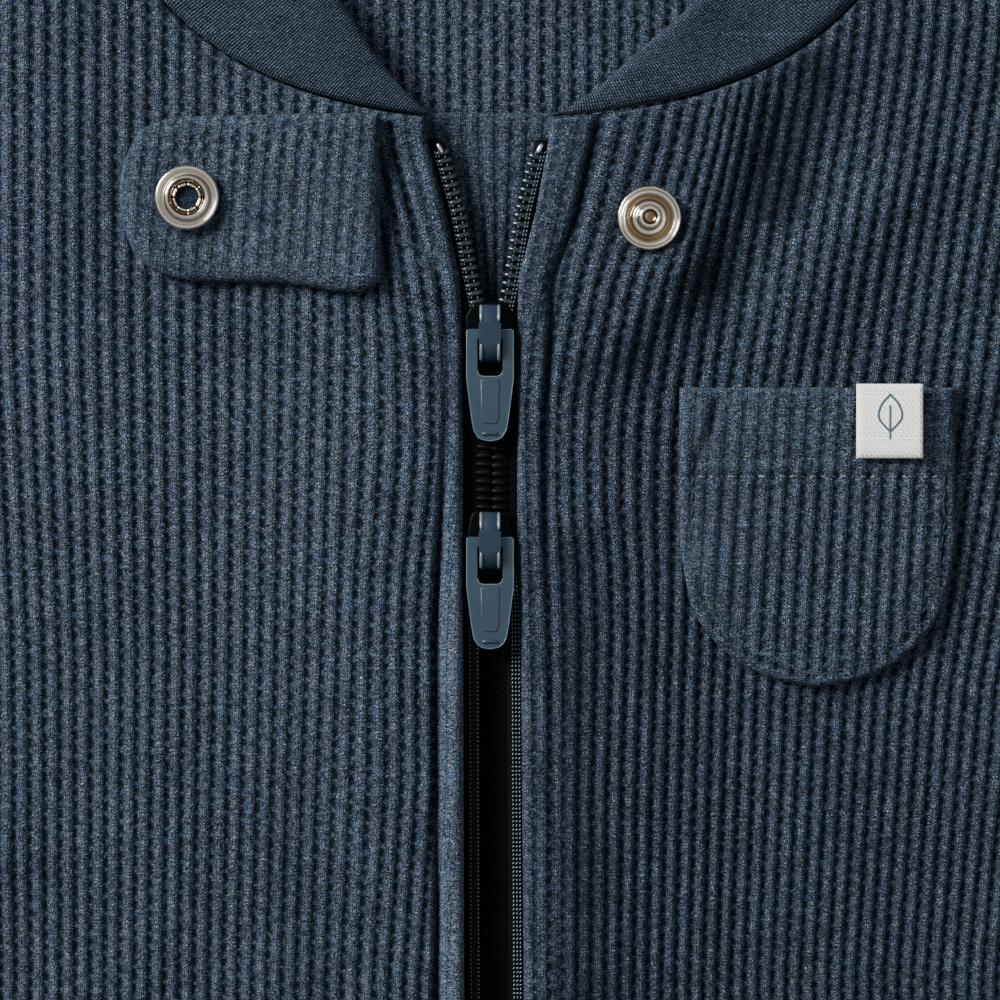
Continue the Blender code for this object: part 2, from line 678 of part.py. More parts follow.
def add_cuff(name, corners, ribbing):
    """A short rib tube pressed flat; the corners run round it from its seam."""
    sides = [run(a, b, 7) for a, b in zip(corners, corners[1:] + corners[:1])]
    item = wall(name, joined(*sides), lambda x, y, crest: CUFF_TOP, lambda x, y: 0.0,
                ribbing, coarse=30, drop=1.2)
    middle = [sum(c[k] for c in corners) / 4 for k in (0, 1)]
    root = [(corners[0][k] + corners[1][k]) / 2 for k in (0, 1)]
    axis = [(root[k] - middle[k]) / math.dist(root, middle) for k in (0, 1)]
    longer = []
    for x, y in corners:
        dx, dy = x - middle[0], y - middle[1]
        along = dx * axis[0] + dy * axis[1]
        across = -dx * axis[1] + dy * axis[0]
        narrow = across - math.copysign(SLIT_SIDE, across)
        far = along + math.copysign(SLIT_PAST, along)
        longer.append((middle[0] + axis[0] * far - axis[1] * narrow,
                       middle[1] + axis[1] * far + axis[0] * narrow))
    slit(item, joined(longer), CUFF_WALL, CUFF_WALL + GAP)


def add_ankle_cuffs(ribbing):
    for name, side in (("right", RIGHT), ("left", LEFT)):
        middle = (LEG_IN_X + LEG_OUT_X) / 2 * side
        half = ANKLE_CUFF_WIDE / 2
        add_cuff("ankle_cuff_" + name,
                 cuff_corners(middle - half, middle + half, LEG_END_Y - GAP, -CUFF_LONG), ribbing)


def zip_levels():
    """Levels along the tapes, close together where the zip opens."""
    straight = steps(ZIP_TOP_Y, OPEN_END_Y, 5) + steps(OPEN_END_Y, ZIP_BEND_Y, 35)[1:]
    return straight + steps(ZIP_BEND_Y, ZIP_END_Y, 16)[1:]


def add_zip(cloth, dark, tape_finish):
    levels = zip_levels()
    for name, side in (("zip_tape_right", RIGHT), ("zip_tape_left", LEFT)):
        coil = [(coil_x(side, y) - side * COIL_HALF, y) for y in levels]
        seam = [(coil_x(side, y) + side * COIL_HALF, y) for y in levels]
        edge = [(coil_x(side, y) + side * TAPE_REACH, y) for y in levels]
        strip(name, levels, [coil, seam, edge], side, tape_finish)
    guard = oblong(-GUARD_HALF, GUARD_END_Y, GUARD_HALF, GUARD_TOP_Y, 20)
    wall("zip_guard", guard,
         lambda x, y, crest: FRONT_LOW + GUARD_WALL + GUARD_RIB * crest,
         lambda x, y: FRONT_LOW, cloth,
         rib_columns(guard, steps(GUARD_TOP_Y + 2, GUARD_END_Y - 2, 20)), drop=0.4)
    levels = steps(GUARD_END_Y - GAP, BACKING_END_Y, 14)
    backing = joined([(zip_middle(y) - GUARD_HALF, y) for y in levels],
                     [(zip_middle(y) + GUARD_HALF, y) for y in reversed(levels)])
    wall("zip_backing", backing, lambda x, y, crest: FRONT_LOW + GUARD_WALL,
         lambda x, y: FRONT_LOW, dark, drop=0.3)


def strip(name, levels, lines, side, material):
    """Zip tape with its coil as a raised bead along the inner edge."""
    coil, seam, edge = lines
    rings = []
    for i, y in enumerate(levels):
        top = zip_low(y) - GAP
        low = top - TAPE
        rings.append([(*coil[i], low), (*edge[i], low), (*edge[i], top), (*seam[i], top),
                      (*seam[i], top + COIL_RISE / 2),
                      (coil_x(side, y) + side * COIL_FLAT, y, top + COIL_RISE),
                      (coil_x(side, y) - side * COIL_FLAT, y, top + COIL_RISE),
                      (*coil[i], top + COIL_RISE / 2)])
    points = [point for ring in rings for point in ring]
    size = len(rings[0])
    faces = [list(range(size))[::-1], list(range(len(points) - size, len(points)))]
    for i in range(len(rings) - 1):
        for k in range(size):
            m = (k + 1) % size
            faces.append([i * size + k, i * size + m, (i + 1) * size + m, (i + 1) * size + k])
    item = add_object(name, points, faces, material)
    if side == RIGHT:
        item.data.flip_normals()
    return item


def tab_outline():
    """Rounded at its free end, square at its root."""
    middle = (TAB_TOP_Y + TAB_LOW_Y) / 2
    high = (TAB_TOP_Y - TAB_LOW_Y) / 2
    end = [(TAB_END_X + 10, TAB_TOP_Y), (TAB_END_X + 4, middle + high * 0.86),
           (TAB_END_X + 0.6, middle + high * 0.4), (TAB_END_X + 1.2, middle - high * 0.35),
           (TAB_END_X + 5, middle - high * 0.8), (TAB_END_X + 12, TAB_LOW_Y)]
    return joined(
        run((TAB_ROOT_X, TAB_TOP_Y), (TAB_END_X + 10, TAB_TOP_Y), 5), curve(end, 3),
        run((TAB_END_X + 12, TAB_LOW_Y), (TAB_ROOT_X, TAB_LOW_Y), 5),
        run((TAB_ROOT_X, TAB_LOW_Y), (TAB_ROOT_X, TAB_TOP_Y), 5))


def add_tab(cloth):
    def top(x, y, crest):
        near = math.hypot(x - SOCKET_X, y - SOCKET_Y) < SNAP_FLAT
        return on_front(x, y) + TAB_WALL + RIB_RISE * (0 if near else crest)

    outline = tab_outline()
    wall("tab", outline, top, on_front, cloth,
         rib_columns(outline, steps(TAB_TOP_Y + 2, TAB_LOW_Y - 2, 4.3)), coarse=6, drop=1.0)


def pocket_outline():
    low = POCKET_TOP_Y - POCKET_DEEP
    left, right = POCKET_X - POCKET_HALF, POCKET_X + POCKET_HALF
    curve_left = curve([(left, low + 22), (left + 2.2, low + 11.5), (left + 8, low + 4.6),
                        (left + 14, low + 1.5), (POCKET_X, low)], 4)
    curve_right = [(2 * POCKET_X - x, y) for x, y in reversed(curve_left)]
    return joined(run((left, POCKET_TOP_Y), (left, low + 22), 6), curve_left, curve_right,
                  run((right, low + 22), (right, POCKET_TOP_Y), 6),
                  run((right, POCKET_TOP_Y), (left, POCKET_TOP_Y), 6))


def add_pocket(cloth, label_finish):
    def top(x, y, crest):
        hem = smooth((y - (POCKET_TOP_Y - HEM_DEEP)) / 1.5 + 0.5)
        return on_front(x, y) + CLOTH + HEM_EXTRA * hem + RIB_RISE * crest

    outline = pocket_outline()
    wall("pocket", outline, top, on_front, cloth,
         rib_columns(outline, steps(POCKET_TOP_Y + 2, POCKET_TOP_Y - POCKET_DEEP - 2, 8)),
         coarse=9)
    right = LABEL_LEFT_X + LABEL_WIDE
    low = LABEL_TOP_Y - LABEL_HIGH
    label = oblong(LABEL_LEFT_X, low, right, LABEL_TOP_Y, 4)

    def under(x, y):
        return on_front(x, y) + CLOTH + HEM_EXTRA + RIB_RISE + GAP

    wall("label", label, lambda x, y, crest: under(x, y) + LABEL_WALL, under, label_finish,
         coarse=4, drop=0.2)


def snap(name, x, y, low, rings, material):
    """A turned snap half: rings from its foot, over the rim, to the middle."""
    points, faces = [], []
    for ring in rings:
        for i in range(SNAP_SIDES):
            angle = math.tau * i / SNAP_SIDES
            points.append((x + ring.radius * math.cos(angle), y + ring.radius * math.sin(angle),
                           low + ring.height))
    for r in range(len(rings) - 1):
        for i in range(SNAP_SIDES):
            j = (i + 1) % SNAP_SIDES
            a, b = r * SNAP_SIDES, (r + 1) * SNAP_SIDES
            faces.append([a + i, a + j, b + j, b + i])
    faces.append(list(range(SNAP_SIDES))[::-1])
    faces.append(list(range(len(points) - SNAP_SIDES, len(points))))
    item = add_object(name, points, faces, material)
    item.data.shade_smooth()
    return item


def add_snaps(nickel):
    tab_level = on_front(SOCKET_X, SOCKET_Y) + TAB_WALL + GAP + SNAP_SEAT
    front_level = lift(STUD_X, STUD_Y) + CLOTH + GAP + SNAP_SEAT
    snap("snap_socket", SOCKET_X, SOCKET_Y, tab_level, SOCKET_RINGS, nickel)
    snap("snap_stud", STUD_X, STUD_Y, front_level, STUD_RINGS, nickel)


def slider_outline(bar_y, ahead):
    """Plate of a slider; ahead is +1 where its two mouths face the head."""
    shape = [(1.6, BODY_AHEAD), (SHOULDER_HALF, BODY_AHEAD - 1.2), (SHOULDER_HALF, 0.6),
             (TAIL_HALF, -BODY_BEHIND)]
    both = shape + [(-x, y) for x, y in reversed(shape)]
    return joined([(SLIDER_X + x, bar_y + ahead * y) for x, y in both])


def block(name, x_half, y_low, y_high, z_low, z_high, material):
    outline = oblong(SLIDER_X - x_half, y_low, SLIDER_X + x_half, y_high, y_high - y_low)
    return slab(name, outline, z_low, z_high, material)


def add_slider(name, bar_y, ahead, metal):
    """Two plates, the wedge between them, and the crown that the pull hangs in."""
    outline = slider_outline(bar_y, ahead)
    body = slab(name, outline, UPPER_PLATE, UPPER_PLATE + PLATE, metal)
    top = UPPER_PLATE + PLATE
    wedge = sorted((bar_y + ahead * (BODY_AHEAD - 0.1), bar_y + ahead * (BODY_AHEAD - 1.9)))
    crown_low = bar_y - BODY_BEHIND + 0.1
    crown_high = bar_y + BODY_AHEAD - 0.1
    adds = [
        slab(name + "_under", outline, PLATE_LOW, PLATE_LOW + PLATE, metal),
        block(name + "_wedge", WEDGE_HALF, *wedge, PLATE_LOW + 0.1, top - 0.1, metal),
        crown(name + "_crown", crown_low, crown_high, bar_y, top, metal),
    ]
    for item in adds:
        item.hide_render = True
        item.display_type = "WIRE"
        join = body.modifiers.new(item.name, "BOOLEAN")
        join.operation = "UNION"
        join.object = item
        join.solver = "EXACT"
    return body


def crown(name, low, high, bar_y, top, metal):
    """Arch along the slider, drawn from the side and given its width across."""
    roof = CROWN_ROOF + CROWN_WALL
    foot = top - 0.2
    profile = [(low, foot), (low + 1.3, foot), (low + 1.5, CROWN_ROOF - 0.7),
               (bar_y - 1.6, CROWN_ROOF), (bar_y + 1.6, CROWN_ROOF),
               (high - 1.9, CROWN_ROOF - 0.7), (high - 1.6, foot), (high, foot),
               (high, top + 0.5), (high - 1.0, roof - 0.5), (high - 2.4, roof),
               (low + 2.0, roof), (low + 0.5, roof - 0.6), (low, top + 0.6)]
    points = [(SLIDER_X - CROWN_HALF, y, z) for y, z in profile]
    points += [(SLIDER_X + CROWN_HALF, y, z) for y, z in profile]
    count = len(profile)
    faces = [list(range(count))[::-1], list(range(count, 2 * count))]
    for i in range(count):
        j = (i + 1) % count
        faces.append([i, j, count + j, count + i])
    item = add_object(name, points, faces, metal)
    mesh = bmesh.new()
    mesh.from_mesh(item.data)
    bmesh.ops.triangulate(mesh, faces=mesh.faces[:])
    bmesh.ops.recalc_face_normals(mesh, faces=mesh.faces[:])
    mesh.to_mesh(item.data)
    mesh.free()
    return item


def add_pull(name, bar_y, metal):
    """Pull tab with the window that clears the crown; its origin is on its bar's axis."""
    end = -PULL_LONG
    shape = [(PULL_HALF - 0.5, PULL_TOP), (PULL_HALF, PULL_TOP - 0.6), (PULL_HALF, -6.8),
             (PULL_END_HALF + 0.3, end + 2.0), (PULL_END_HALF - 0.5, end + 0.6), (0.9, end)]
    half = [(SLIDER_X + x, bar_y + y) for x, y in shape]
    other = [(SLIDER_X - x, bar_y + y) for x, y in reversed(shape)]
    top, low = -WINDOW_TOP, -WINDOW_END
    window = [(-WINDOW_HALF, low + 0.5), (-WINDOW_HALF + 0.5, low), (WINDOW_HALF - 0.5, low),
              (WINDOW_HALF, low + 0.5), (WINDOW_HALF, top), (-WINDOW_HALF, top)]
    hole = joined([(SLIDER_X + x, bar_y + y) for x, y in window])
    return slab(name, joined(half, other), PULL_LOW, PULL_LOW + PULL_WALL, metal, [hole],
                bevel=0.25, origin=(SLIDER_X, bar_y, BAR_Z))


def build():
    for item in list(bpy.data.objects):
        bpy.data.objects.remove(item, do_unlink=True)
    waffle = colour("navy_waffle_knit", (42, 54, 66), 0.9)
    ribbing = colour("navy_rib_knit", (46, 59, 70), 0.9)
    dark = colour("black_backing", (6, 7, 9), 0.9)
    tape = colour("black_zip_tape", (13, 15, 19), 0.7)
    enamel = colour("navy_enamel", (60, 80, 96), 0.35, 0.2)
    black = colour("black_enamel", (16, 20, 25), 0.35, 0.2)
    nickel = colour("brushed_nickel", (190, 180, 160), 0.3, 1.0)
    cream = colour("cream_woven_label", (232, 230, 220), 0.85)
    add_back(waffle)
    add_fronts(waffle)
    add_neckband(ribbing)
    add_sleeves(waffle, ribbing)
    add_ankle_cuffs(ribbing)
    add_zip(waffle, dark, tape)
    add_tab(waffle)
    add_pocket(waffle, cream)
    add_snaps(nickel)
    add_slider("slider_upper", UPPER_BAR_Y, 1, black)
    add_slider("slider_lower", LOWER_BAR_Y, -1, black)
    add_pull("pull_upper", UPPER_BAR_Y, enamel)
    add_pull("pull_lower", LOWER_BAR_Y, enamel)


build()
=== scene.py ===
"""Looks of the waffle-knit baby sleeper: knit panels, ribbing, zip, snaps, label, light and camera.

Sizes are in millimetres and y = 0 is the middle of the front neck seam; they become metres where
a mesh is made. Right and left are the wearer's, so the right side has negative x.
"""
import json
import math
from collections import namedtuple

import bmesh
import bpy
import numpy as np
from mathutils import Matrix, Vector
from mathutils.geometry import delaunay_2d_cdt
from mathutils.kdtree import KDTree

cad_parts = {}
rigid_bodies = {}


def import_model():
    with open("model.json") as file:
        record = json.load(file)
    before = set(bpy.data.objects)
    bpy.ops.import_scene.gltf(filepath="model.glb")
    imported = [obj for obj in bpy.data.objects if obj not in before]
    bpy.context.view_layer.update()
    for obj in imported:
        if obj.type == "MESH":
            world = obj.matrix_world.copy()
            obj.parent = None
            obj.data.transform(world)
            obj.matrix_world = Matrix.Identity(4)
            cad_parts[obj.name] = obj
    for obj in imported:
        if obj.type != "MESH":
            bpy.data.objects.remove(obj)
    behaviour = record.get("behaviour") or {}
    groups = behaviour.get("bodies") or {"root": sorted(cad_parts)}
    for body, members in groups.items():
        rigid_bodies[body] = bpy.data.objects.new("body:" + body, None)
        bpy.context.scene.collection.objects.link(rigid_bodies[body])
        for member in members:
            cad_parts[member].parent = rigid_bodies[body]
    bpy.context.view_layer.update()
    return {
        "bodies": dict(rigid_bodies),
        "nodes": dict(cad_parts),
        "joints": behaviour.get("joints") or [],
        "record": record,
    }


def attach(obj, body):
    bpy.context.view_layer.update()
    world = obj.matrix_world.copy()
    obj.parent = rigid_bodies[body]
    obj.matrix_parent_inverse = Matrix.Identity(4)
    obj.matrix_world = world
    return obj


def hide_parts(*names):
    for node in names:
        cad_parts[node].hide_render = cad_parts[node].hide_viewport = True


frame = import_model()

MM = 0.001
GAP = 0.3
RIGHT, LEFT = -1, 1
HAND = {RIGHT: "right", LEFT: "left"}
BODY = "garment"

# Cloth
CLOTH = 1.6
RIB_RISE = 0.6
RIB_PITCH = 2.4             # on the back and the sleeves
SEAM_ROLL = 1.3             # a cut or folded edge rounds off over this width
FRONT_LOW = CLOTH + GAP
NECK_RIB_DEEP = 0.45        # grooves on the inside of the back

# Neckband: its wall, its wales and how deep they are
BAND_WALL = 2.0
BAND_WALE, BACK_BAND_WALE = 0.47, 0.9
BAND_RIPPLE = 0.13

# Zip, from the table up
GUARD_WALL = 1.1
GUARD_RIB = 0.4
PLATE = 0.7
PLATE_LOW = FRONT_LOW + GUARD_WALL + GUARD_RIB + GAP
TAPE_LOW = PLATE_LOW + PLATE + GAP
TAPE = 1.0
COIL_RISE = 0.6
TAPE_REACH, TAPE_INNER = 10.4, 0.75
ZIP_LOW = TAPE_LOW + TAPE + GAP
UPPER_PLATE = TAPE_LOW + TAPE + COIL_RISE + GAP
ANKLE_LOW = 3.3             # inside of the fronts where the zip ends, at the left ankle
HUMP_FLAT = 11.6            # the fronts lie level over the tapes and then sink over the run
HUMP_RUN, HUMP_RUN_LEFT = 30.0, 24.0

# Body outline
NECK_HIGH_Y = 48.0
NECK_BACK_Y = 37.0
NECK_TURN, NECK_TURN_RISE = 0.63, 3.5
BAND_TOP = 54.0
SHOULDER_X, SHOULDER_Y = 100.0, 30.0
UNDERARM_X, UNDERARM_Y = 126.0, -92.0
ARMHOLE_IN, ARMHOLE_DOWN = 8.0, 6.0
CROTCH_X, CROTCH_Y = 3.0, -327.0
LEG_END_Y = -482.0
LEG_IN_X, LEG_OUT_X = 40.0, 97.0

# Cuffs and sleeves
CUFF_LONG = 28.0
CUFF_WALL = 1.7
CUFF_TOP = 2 * CUFF_WALL + GAP
CUFF_TAPER = 1.0
CUFF_WALES = 96
CUFF_RIPPLE = 0.28
CUFF_SQUARE = 5.71          # how square the pressed tube's ends are
ANKLE_CUFF_WIDE = 52.0
WRIST_CUFF_WIDE = 44.0
SLEEVE_DROP = math.radians(38)
SLEEVE_LONG = 180.0
WRIST_WIDE = 50.0
WRIST_LOW = 8.0
MIDDLE_Y = (BAND_TOP + LEG_END_Y - GAP - CUFF_LONG) / 2     # of the whole garment

# The body's sides and the insides of its legs, the neck opening and the band's free edge
Side = namedtuple("Side", "y x")
SIDE_SEAM = [
    Side(y=UNDERARM_Y, x=UNDERARM_X),
    Side(y=-170, x=123.5),
    Side(y=-255, x=130),
    Side(y=-340, x=125),
    Side(y=-420, x=108),
    Side(y=LEG_END_Y, x=LEG_OUT_X),
]
INSEAM = [
    Side(y=LEG_END_Y, x=LEG_IN_X),
    Side(y=-420, x=29),
    Side(y=-360, x=16.5),
    Side(y=CROTCH_Y, x=CROTCH_X),
]
Neck = namedtuple("Neck", "half power")
NECK = {RIGHT: Neck(half=61, power=2.2), LEFT: Neck(half=66, power=2.3)}
Edge = namedtuple("Edge", "x y")
BAND_EDGE = {
    RIGHT: [Edge(-9.6, 0.8), Edge(-13.9, 5.2), Edge(-17.7, 10), Edge(-23, 18.2), Edge(-34, 34),
            Edge(-47, BAND_TOP)],
    LEFT: [Edge(10.2, 0.8), Edge(16.4, 5.2), Edge(22.4, 10.6), Edge(31.5, 19), Edge(43, 34),
           Edge(53, BAND_TOP)],
}

# Zip: how far each coil and each folded edge stand from the zip's middle line
Zip = namedtuple("Zip", "y fold_right coil_right coil_left fold_left")
ZIP = [
    Zip(y=4, fold_right=10.6, coil_right=9.1, coil_left=8.2, fold_left=9.8),
    Zip(y=-4, fold_right=9.6, coil_right=7.9, coil_left=7.2, fold_left=8.4),
    Zip(y=-14, fold_right=7.0, coil_right=5.1, coil_left=4.7, fold_left=6.6),
    Zip(y=-24, fold_right=4.9, coil_right=3.2, coil_left=3.0, fold_left=4.0),
    Zip(y=-33, fold_right=4.4, coil_right=1.13, coil_left=1.13, fold_left=3.8),
    Zip(y=-64.5, fold_right=4.4, coil_right=1.13, coil_left=1.13, fold_left=3.8),
    Zip(y=-69, fold_right=4.4, coil_right=2.6, coil_left=2.6, fold_left=3.9),
    Zip(y=-75, fold_right=4.4, coil_right=2.9, coil_left=3.0, fold_left=4.3),
    Zip(y=-133, fold_right=4.2, coil_right=2.7, coil_left=3.3, fold_left=4.8),
    Zip(y=-400, fold_right=4.0, coil_right=2.4, coil_left=2.6, fold_left=4.2),
    Zip(y=-466, fold_right=3.4, coil_right=1.4, coil_left=1.4, fold_left=3.4),
]
ZIP_TOP_Y, ZIP_END_Y = -3.0, -468.0
ZIP_BEND_Y, ZIP_BEND_X = -225.0, 56.0       # below this it runs out into the left leg
ZIP_SINK_Y = -425.0
GUARD_TOP_Y, GUARD_END_Y = 1.6, -60.0
BACKING_END_Y = -428.0
GUARD_HALF = 12.5
GUARD_PITCH = 2.5
TOOTH_PITCH = 1.27

# Folds and creases: ridges, each from (x1, y1) to (x2, y2)
Fold = namedtuple("Fold", "x1 y1 x2 y2 wide rise")
FOLDS = [
    Fold(x1=37, y1=2, x2=27, y2=-22, wide=5.5, rise=2.6),
    Fold(x1=27, y1=-22, x2=14, y2=-38, wide=5, rise=2.0),
    Fold(x1=62, y1=-8, x2=46, y2=-29, wide=6.5, rise=1.8),
    Fold(x1=-112, y1=-70, x2=-78, y2=-112, wide=7, rise=1.8),
    Fold(x1=110, y1=-64, x2=84, y2=-100, wide=8, rise=1.6),
    Fold(x1=-28, y1=-300, x2=-92, y2=-262, wide=8, rise=2.0),
    Fold(x1=44, y1=-318, x2=98, y2=-276, wide=8, rise=1.7),
    Fold(x1=-50, y1=-392, x2=-96, y2=-410, wide=7, rise=1.5),
    Fold(x1=62, y1=-408, x2=100, y2=-388, wide=6, rise=1.2),
    Fold(x1=-72, y1=20, x2=-64, y2=-14, wide=5, rise=0.5),
    Fold(x1=-104, y1=-130, x2=-96, y2=-186, wide=6, rise=0.7),
    Fold(x1=98, y1=-150, x2=90, y2=-204, wide=7, rise=0.8),
    Fold(x1=-44, y1=-214, x2=-70, y2=-246, wide=6, rise=0.6),
    Fold(x1=-66, y1=-330, x2=-70, y2=-372, wide=5, rise=0.6),
    Fold(x1=82, y1=-330, x2=86, y2=-366, wide=5, rise=0.5),
    Fold(x1=46.5, y1=3, x2=43, y2=-12, wide=3.5, rise=-0.8),
    Fold(x1=43, y1=-12, x2=35, y2=-24, wide=3.5, rise=-0.8),
    Fold(x1=35, y1=-24, x2=18, y2=-38, wide=3.5, rise=-0.7),
    Fold(x1=33, y1=-92, x2=31, y2=-134, wide=6, rise=0.7),
    Fold(x1=-30, y1=-118, x2=-26, y2=-150, wide=8, rise=0.5),
    Fold(x1=-50, y1=-92, x2=-52, y2=-128, wide=6, rise=0.4),
]

# How the ribs of the fronts run: pitch, place of the first rib, and their sideways drift
Grain = namedtuple("Grain", "y pitch first drift")
GRAIN = {
    RIGHT: [
        Grain(y=40, pitch=2.545, first=-9.0, drift=0),
        Grain(y=-33, pitch=2.545, first=-9.0, drift=0),
        Grain(y=-82, pitch=2.36, first=-11.5, drift=0),
        Grain(y=-130, pitch=2.26, first=-13.7, drift=0),
        Grain(y=-240, pitch=2.3, first=-14.2, drift=0),
    ],
    LEFT: [
        Grain(y=16, pitch=2.576, first=18.1, drift=10.6),
        Grain(y=5.5, pitch=2.576, first=18.1, drift=9.1),
        Grain(y=-4.2, pitch=2.576, first=18.1, drift=7.1),
        Grain(y=-14, pitch=2.576, first=18.1, drift=5.0),
        Grain(y=-23.6, pitch=2.576, first=18.1, drift=3.1),
        Grain(y=-33.3, pitch=2.576, first=18.1, drift=1.4),
        Grain(y=-43, pitch=2.56, first=18.0, drift=0.2),
        Grain(y=-52, pitch=2.5, first=18.0, drift=0),
        Grain(y=-87, pitch=2.27, first=17.7, drift=0),
        Grain(y=-130, pitch=2.136, first=17.2, drift=0),
        Grain(y=-240, pitch=2.2, first=17.0, drift=0),
    ],
}
# Beside the zip the ribs bow with its folded edge
Bow = namedtuple("Bow", "y right left")
BOW = [
    Bow(y=4, right=-7.0, left=2.4),
    Bow(y=-4.4, right=-5.8, left=2.3),
    Bow(y=-14, right=-3.3, left=1.7),
    Bow(y=-25, right=-1.4, left=0.3),
    Bow(y=-34.5, right=0, left=-0.1),
    Bow(y=-49, right=1.0, left=-0.8),
    Bow(y=-59, right=0.7, left=-0.7),
    Bow(y=-68, right=0.1, left=0.1),
    Bow(y=-78, right=0.1, left=0.4),
    Bow(y=-100, right=1.2, left=0),
    Bow(y=-130, right=0.6, left=0),
    Bow(y=-200, right=0, left=0),
]
BOW_RIBS = 5.0              # the bow dies away over this many ribs

# Topstitching beside the zip, from the folded edge
Seam = namedtuple("Seam", "y right left")
TOPSTITCH = [
    Seam(y=2, right=6.4, left=6.9),
    Seam(y=-14, right=5.2, left=6.2),
    Seam(y=-26, right=3.0, left=5.2),
    Seam(y=-44, right=2.6, left=4.6),
    Seam(y=-60, right=3.4, left=4.4),
    Seam(y=-75, right=4.0, left=4.6),
    Seam(y=-130, right=4.1, left=5.4),
    Seam(y=-470, right=3.6, left=4.6),
]

# How firmly that stitching draws the cloth down
Firm = namedtuple("Firm", "y deep wide ribs")
SEAM_FIRM = {
    RIGHT: [Firm(y=0, deep=0.6, wide=0.6, ribs=0.6), Firm(y=-40, deep=0.6, wide=0.6, ribs=0.4),
            Firm(y=-70, deep=1.25, wide=0.6, ribs=0.15)],
    LEFT: [Firm(y=0, deep=1.3, wide=0.8, ribs=0.5), Firm(y=-30, deep=1.3, wide=0.8, ribs=0.6),
           Firm(y=-48, deep=0.9, wide=0.9, ribs=0.6), Firm(y=-75, deep=0.5, wide=1.1, ribs=0.6)],
}

# How much paler the pressed ribs beside it are, and how sharply that sets in. Above 1 the ribs are
# painted lighter as well, as light on the rolled turned edge.
Press = namedtuple("Press", "most sharp")
SEAM_PRESS_AND_PAINTED_LIGHT = {RIGHT: Press(most=3.9, sharp=3), LEFT: Press(most=0.85, sharp=1)}

# Where a front lies turned away in the lee of a fold, painted darker as its shade
SHADES = {
    RIGHT: [Fold(x1=-62, y1=14, x2=-24, y2=14, wide=10, rise=-0.2),
            Fold(x1=-59, y1=0, x2=-59, y2=-28, wide=6, rise=-0.25),
            Fold(x1=-52, y1=-30, x2=-36, y2=-33, wide=5, rise=-0.2),
            Fold(x1=-31, y1=-106, x2=-28, y2=-136, wide=7, rise=-0.32)],
    LEFT: [Fold(x1=49, y1=6, x2=43, y2=-10, wide=5, rise=-0.8),
           Fold(x1=62, y1=12, x2=51, y2=14, wide=9, rise=-0.25),
           Fold(x1=43, y1=-10, x2=34.5, y2=-24, wide=4, rise=-0.4),
           Fold(x1=34.5, y1=-24, x2=22, y2=-36, wide=4.4, rise=-0.4),
           Fold(x1=20, y1=-36, x2=6, y2=-42, wide=4.5, rise=-0.32),
           Fold(x1=12, y1=-66, x2=12.5, y2=-136, wide=5, rise=-0.58),
           Fold(x1=18, y1=-112, x2=19, y2=-136, wide=5, rise=-0.25),
           Fold(x1=54, y1=-92, x2=60, y2=-136, wide=10, rise=-0.2)],
}
SHADE_MOST = 0.75           # no place is shaded more

SLEEVE_CREASES = [
    Fold(x1=18, y1=30, x2=44, y2=62, wide=7, rise=1.0),
    Fold(x1=70, y1=18, x2=46, y2=44, wide=8, rise=1.2),
    Fold(x1=20, y1=88, x2=58, y2=104, wide=6, rise=0.9),
    Fold(x1=30, y1=140, x2=52, y2=130, wide=5, rise=0.7),
]

# Tab, pocket and label
TAB_WALL = 2.4
TAB_ROOT_X, TAB_END_X = -16.8, -56.5
TAB_TOP_Y, TAB_LOW_Y = 0.6, -25.2
TAB_PITCH, TAB_SLANT = 2.36, 0.08
TACK_X, TACK_Y = -33.0, -15.4   # small tack in the middle of the tab
POCKET_X, POCKET_TOP_Y = 49.4, -40.5
POCKET_HALF, POCKET_DEEP = 21.0, 45.6
POCKET_PITCH, POCKET_SLANT = 2.43, 0.06
HEM_DEEP, HEM_EXTRA = 13.0, 0.5
HEM_ROWS = (-51.4, -54.0)       # the two lines of stitching under the pocket's hem
EDGE_SEAM = 1.9                 # stitching inside the pocket's edge
CORNER_CREASE = Fold(x1=34.8, y1=-41.8, x2=31.0, y2=-52.4, wide=0.9, rise=-0.9)
LABEL_LEFT_X, LABEL_WIDE, LABEL_HIGH, LABEL_WALL = 55.0, 10.0, 11.2, 1.0
LABEL_TOP_Y = POCKET_TOP_Y + 0.4

# Sliders and pulls
SLIDER_X = -0.3
UPPER_BAR_Y, LOWER_BAR_Y = -32.6, -63.9
SHOULDER_HALF, TAIL_HALF = 3.65, 2.8
BODY_AHEAD, BODY_BEHIND = 5.0, 4.6
CROWN_HALF = 1.55
PULL_WALL = 1.2
PULL_LOW = UPPER_PLATE + PLATE + GAP
BAR_Z = PULL_LOW + PULL_WALL / 2
CROWN_ROOF = BAR_Z + 1.0
PULL_TOP, PULL_LONG = 0.75, 16.2
PULL_HALF, PULL_END_HALF = 3.6, 2.2
WINDOW_HALF, WINDOW_TOP, WINDOW_END = 1.9, 0.75, 6.4

# Snaps
SOCKET_X, SOCKET_Y = -46.0, -12.0
STUD_X, STUD_Y = 23.7, -15.1
SNAP_SEAT = 0.3
SNAP_SIDES = 96
SPRING_PARTS = 8
WELL_RADIUS = 2.24

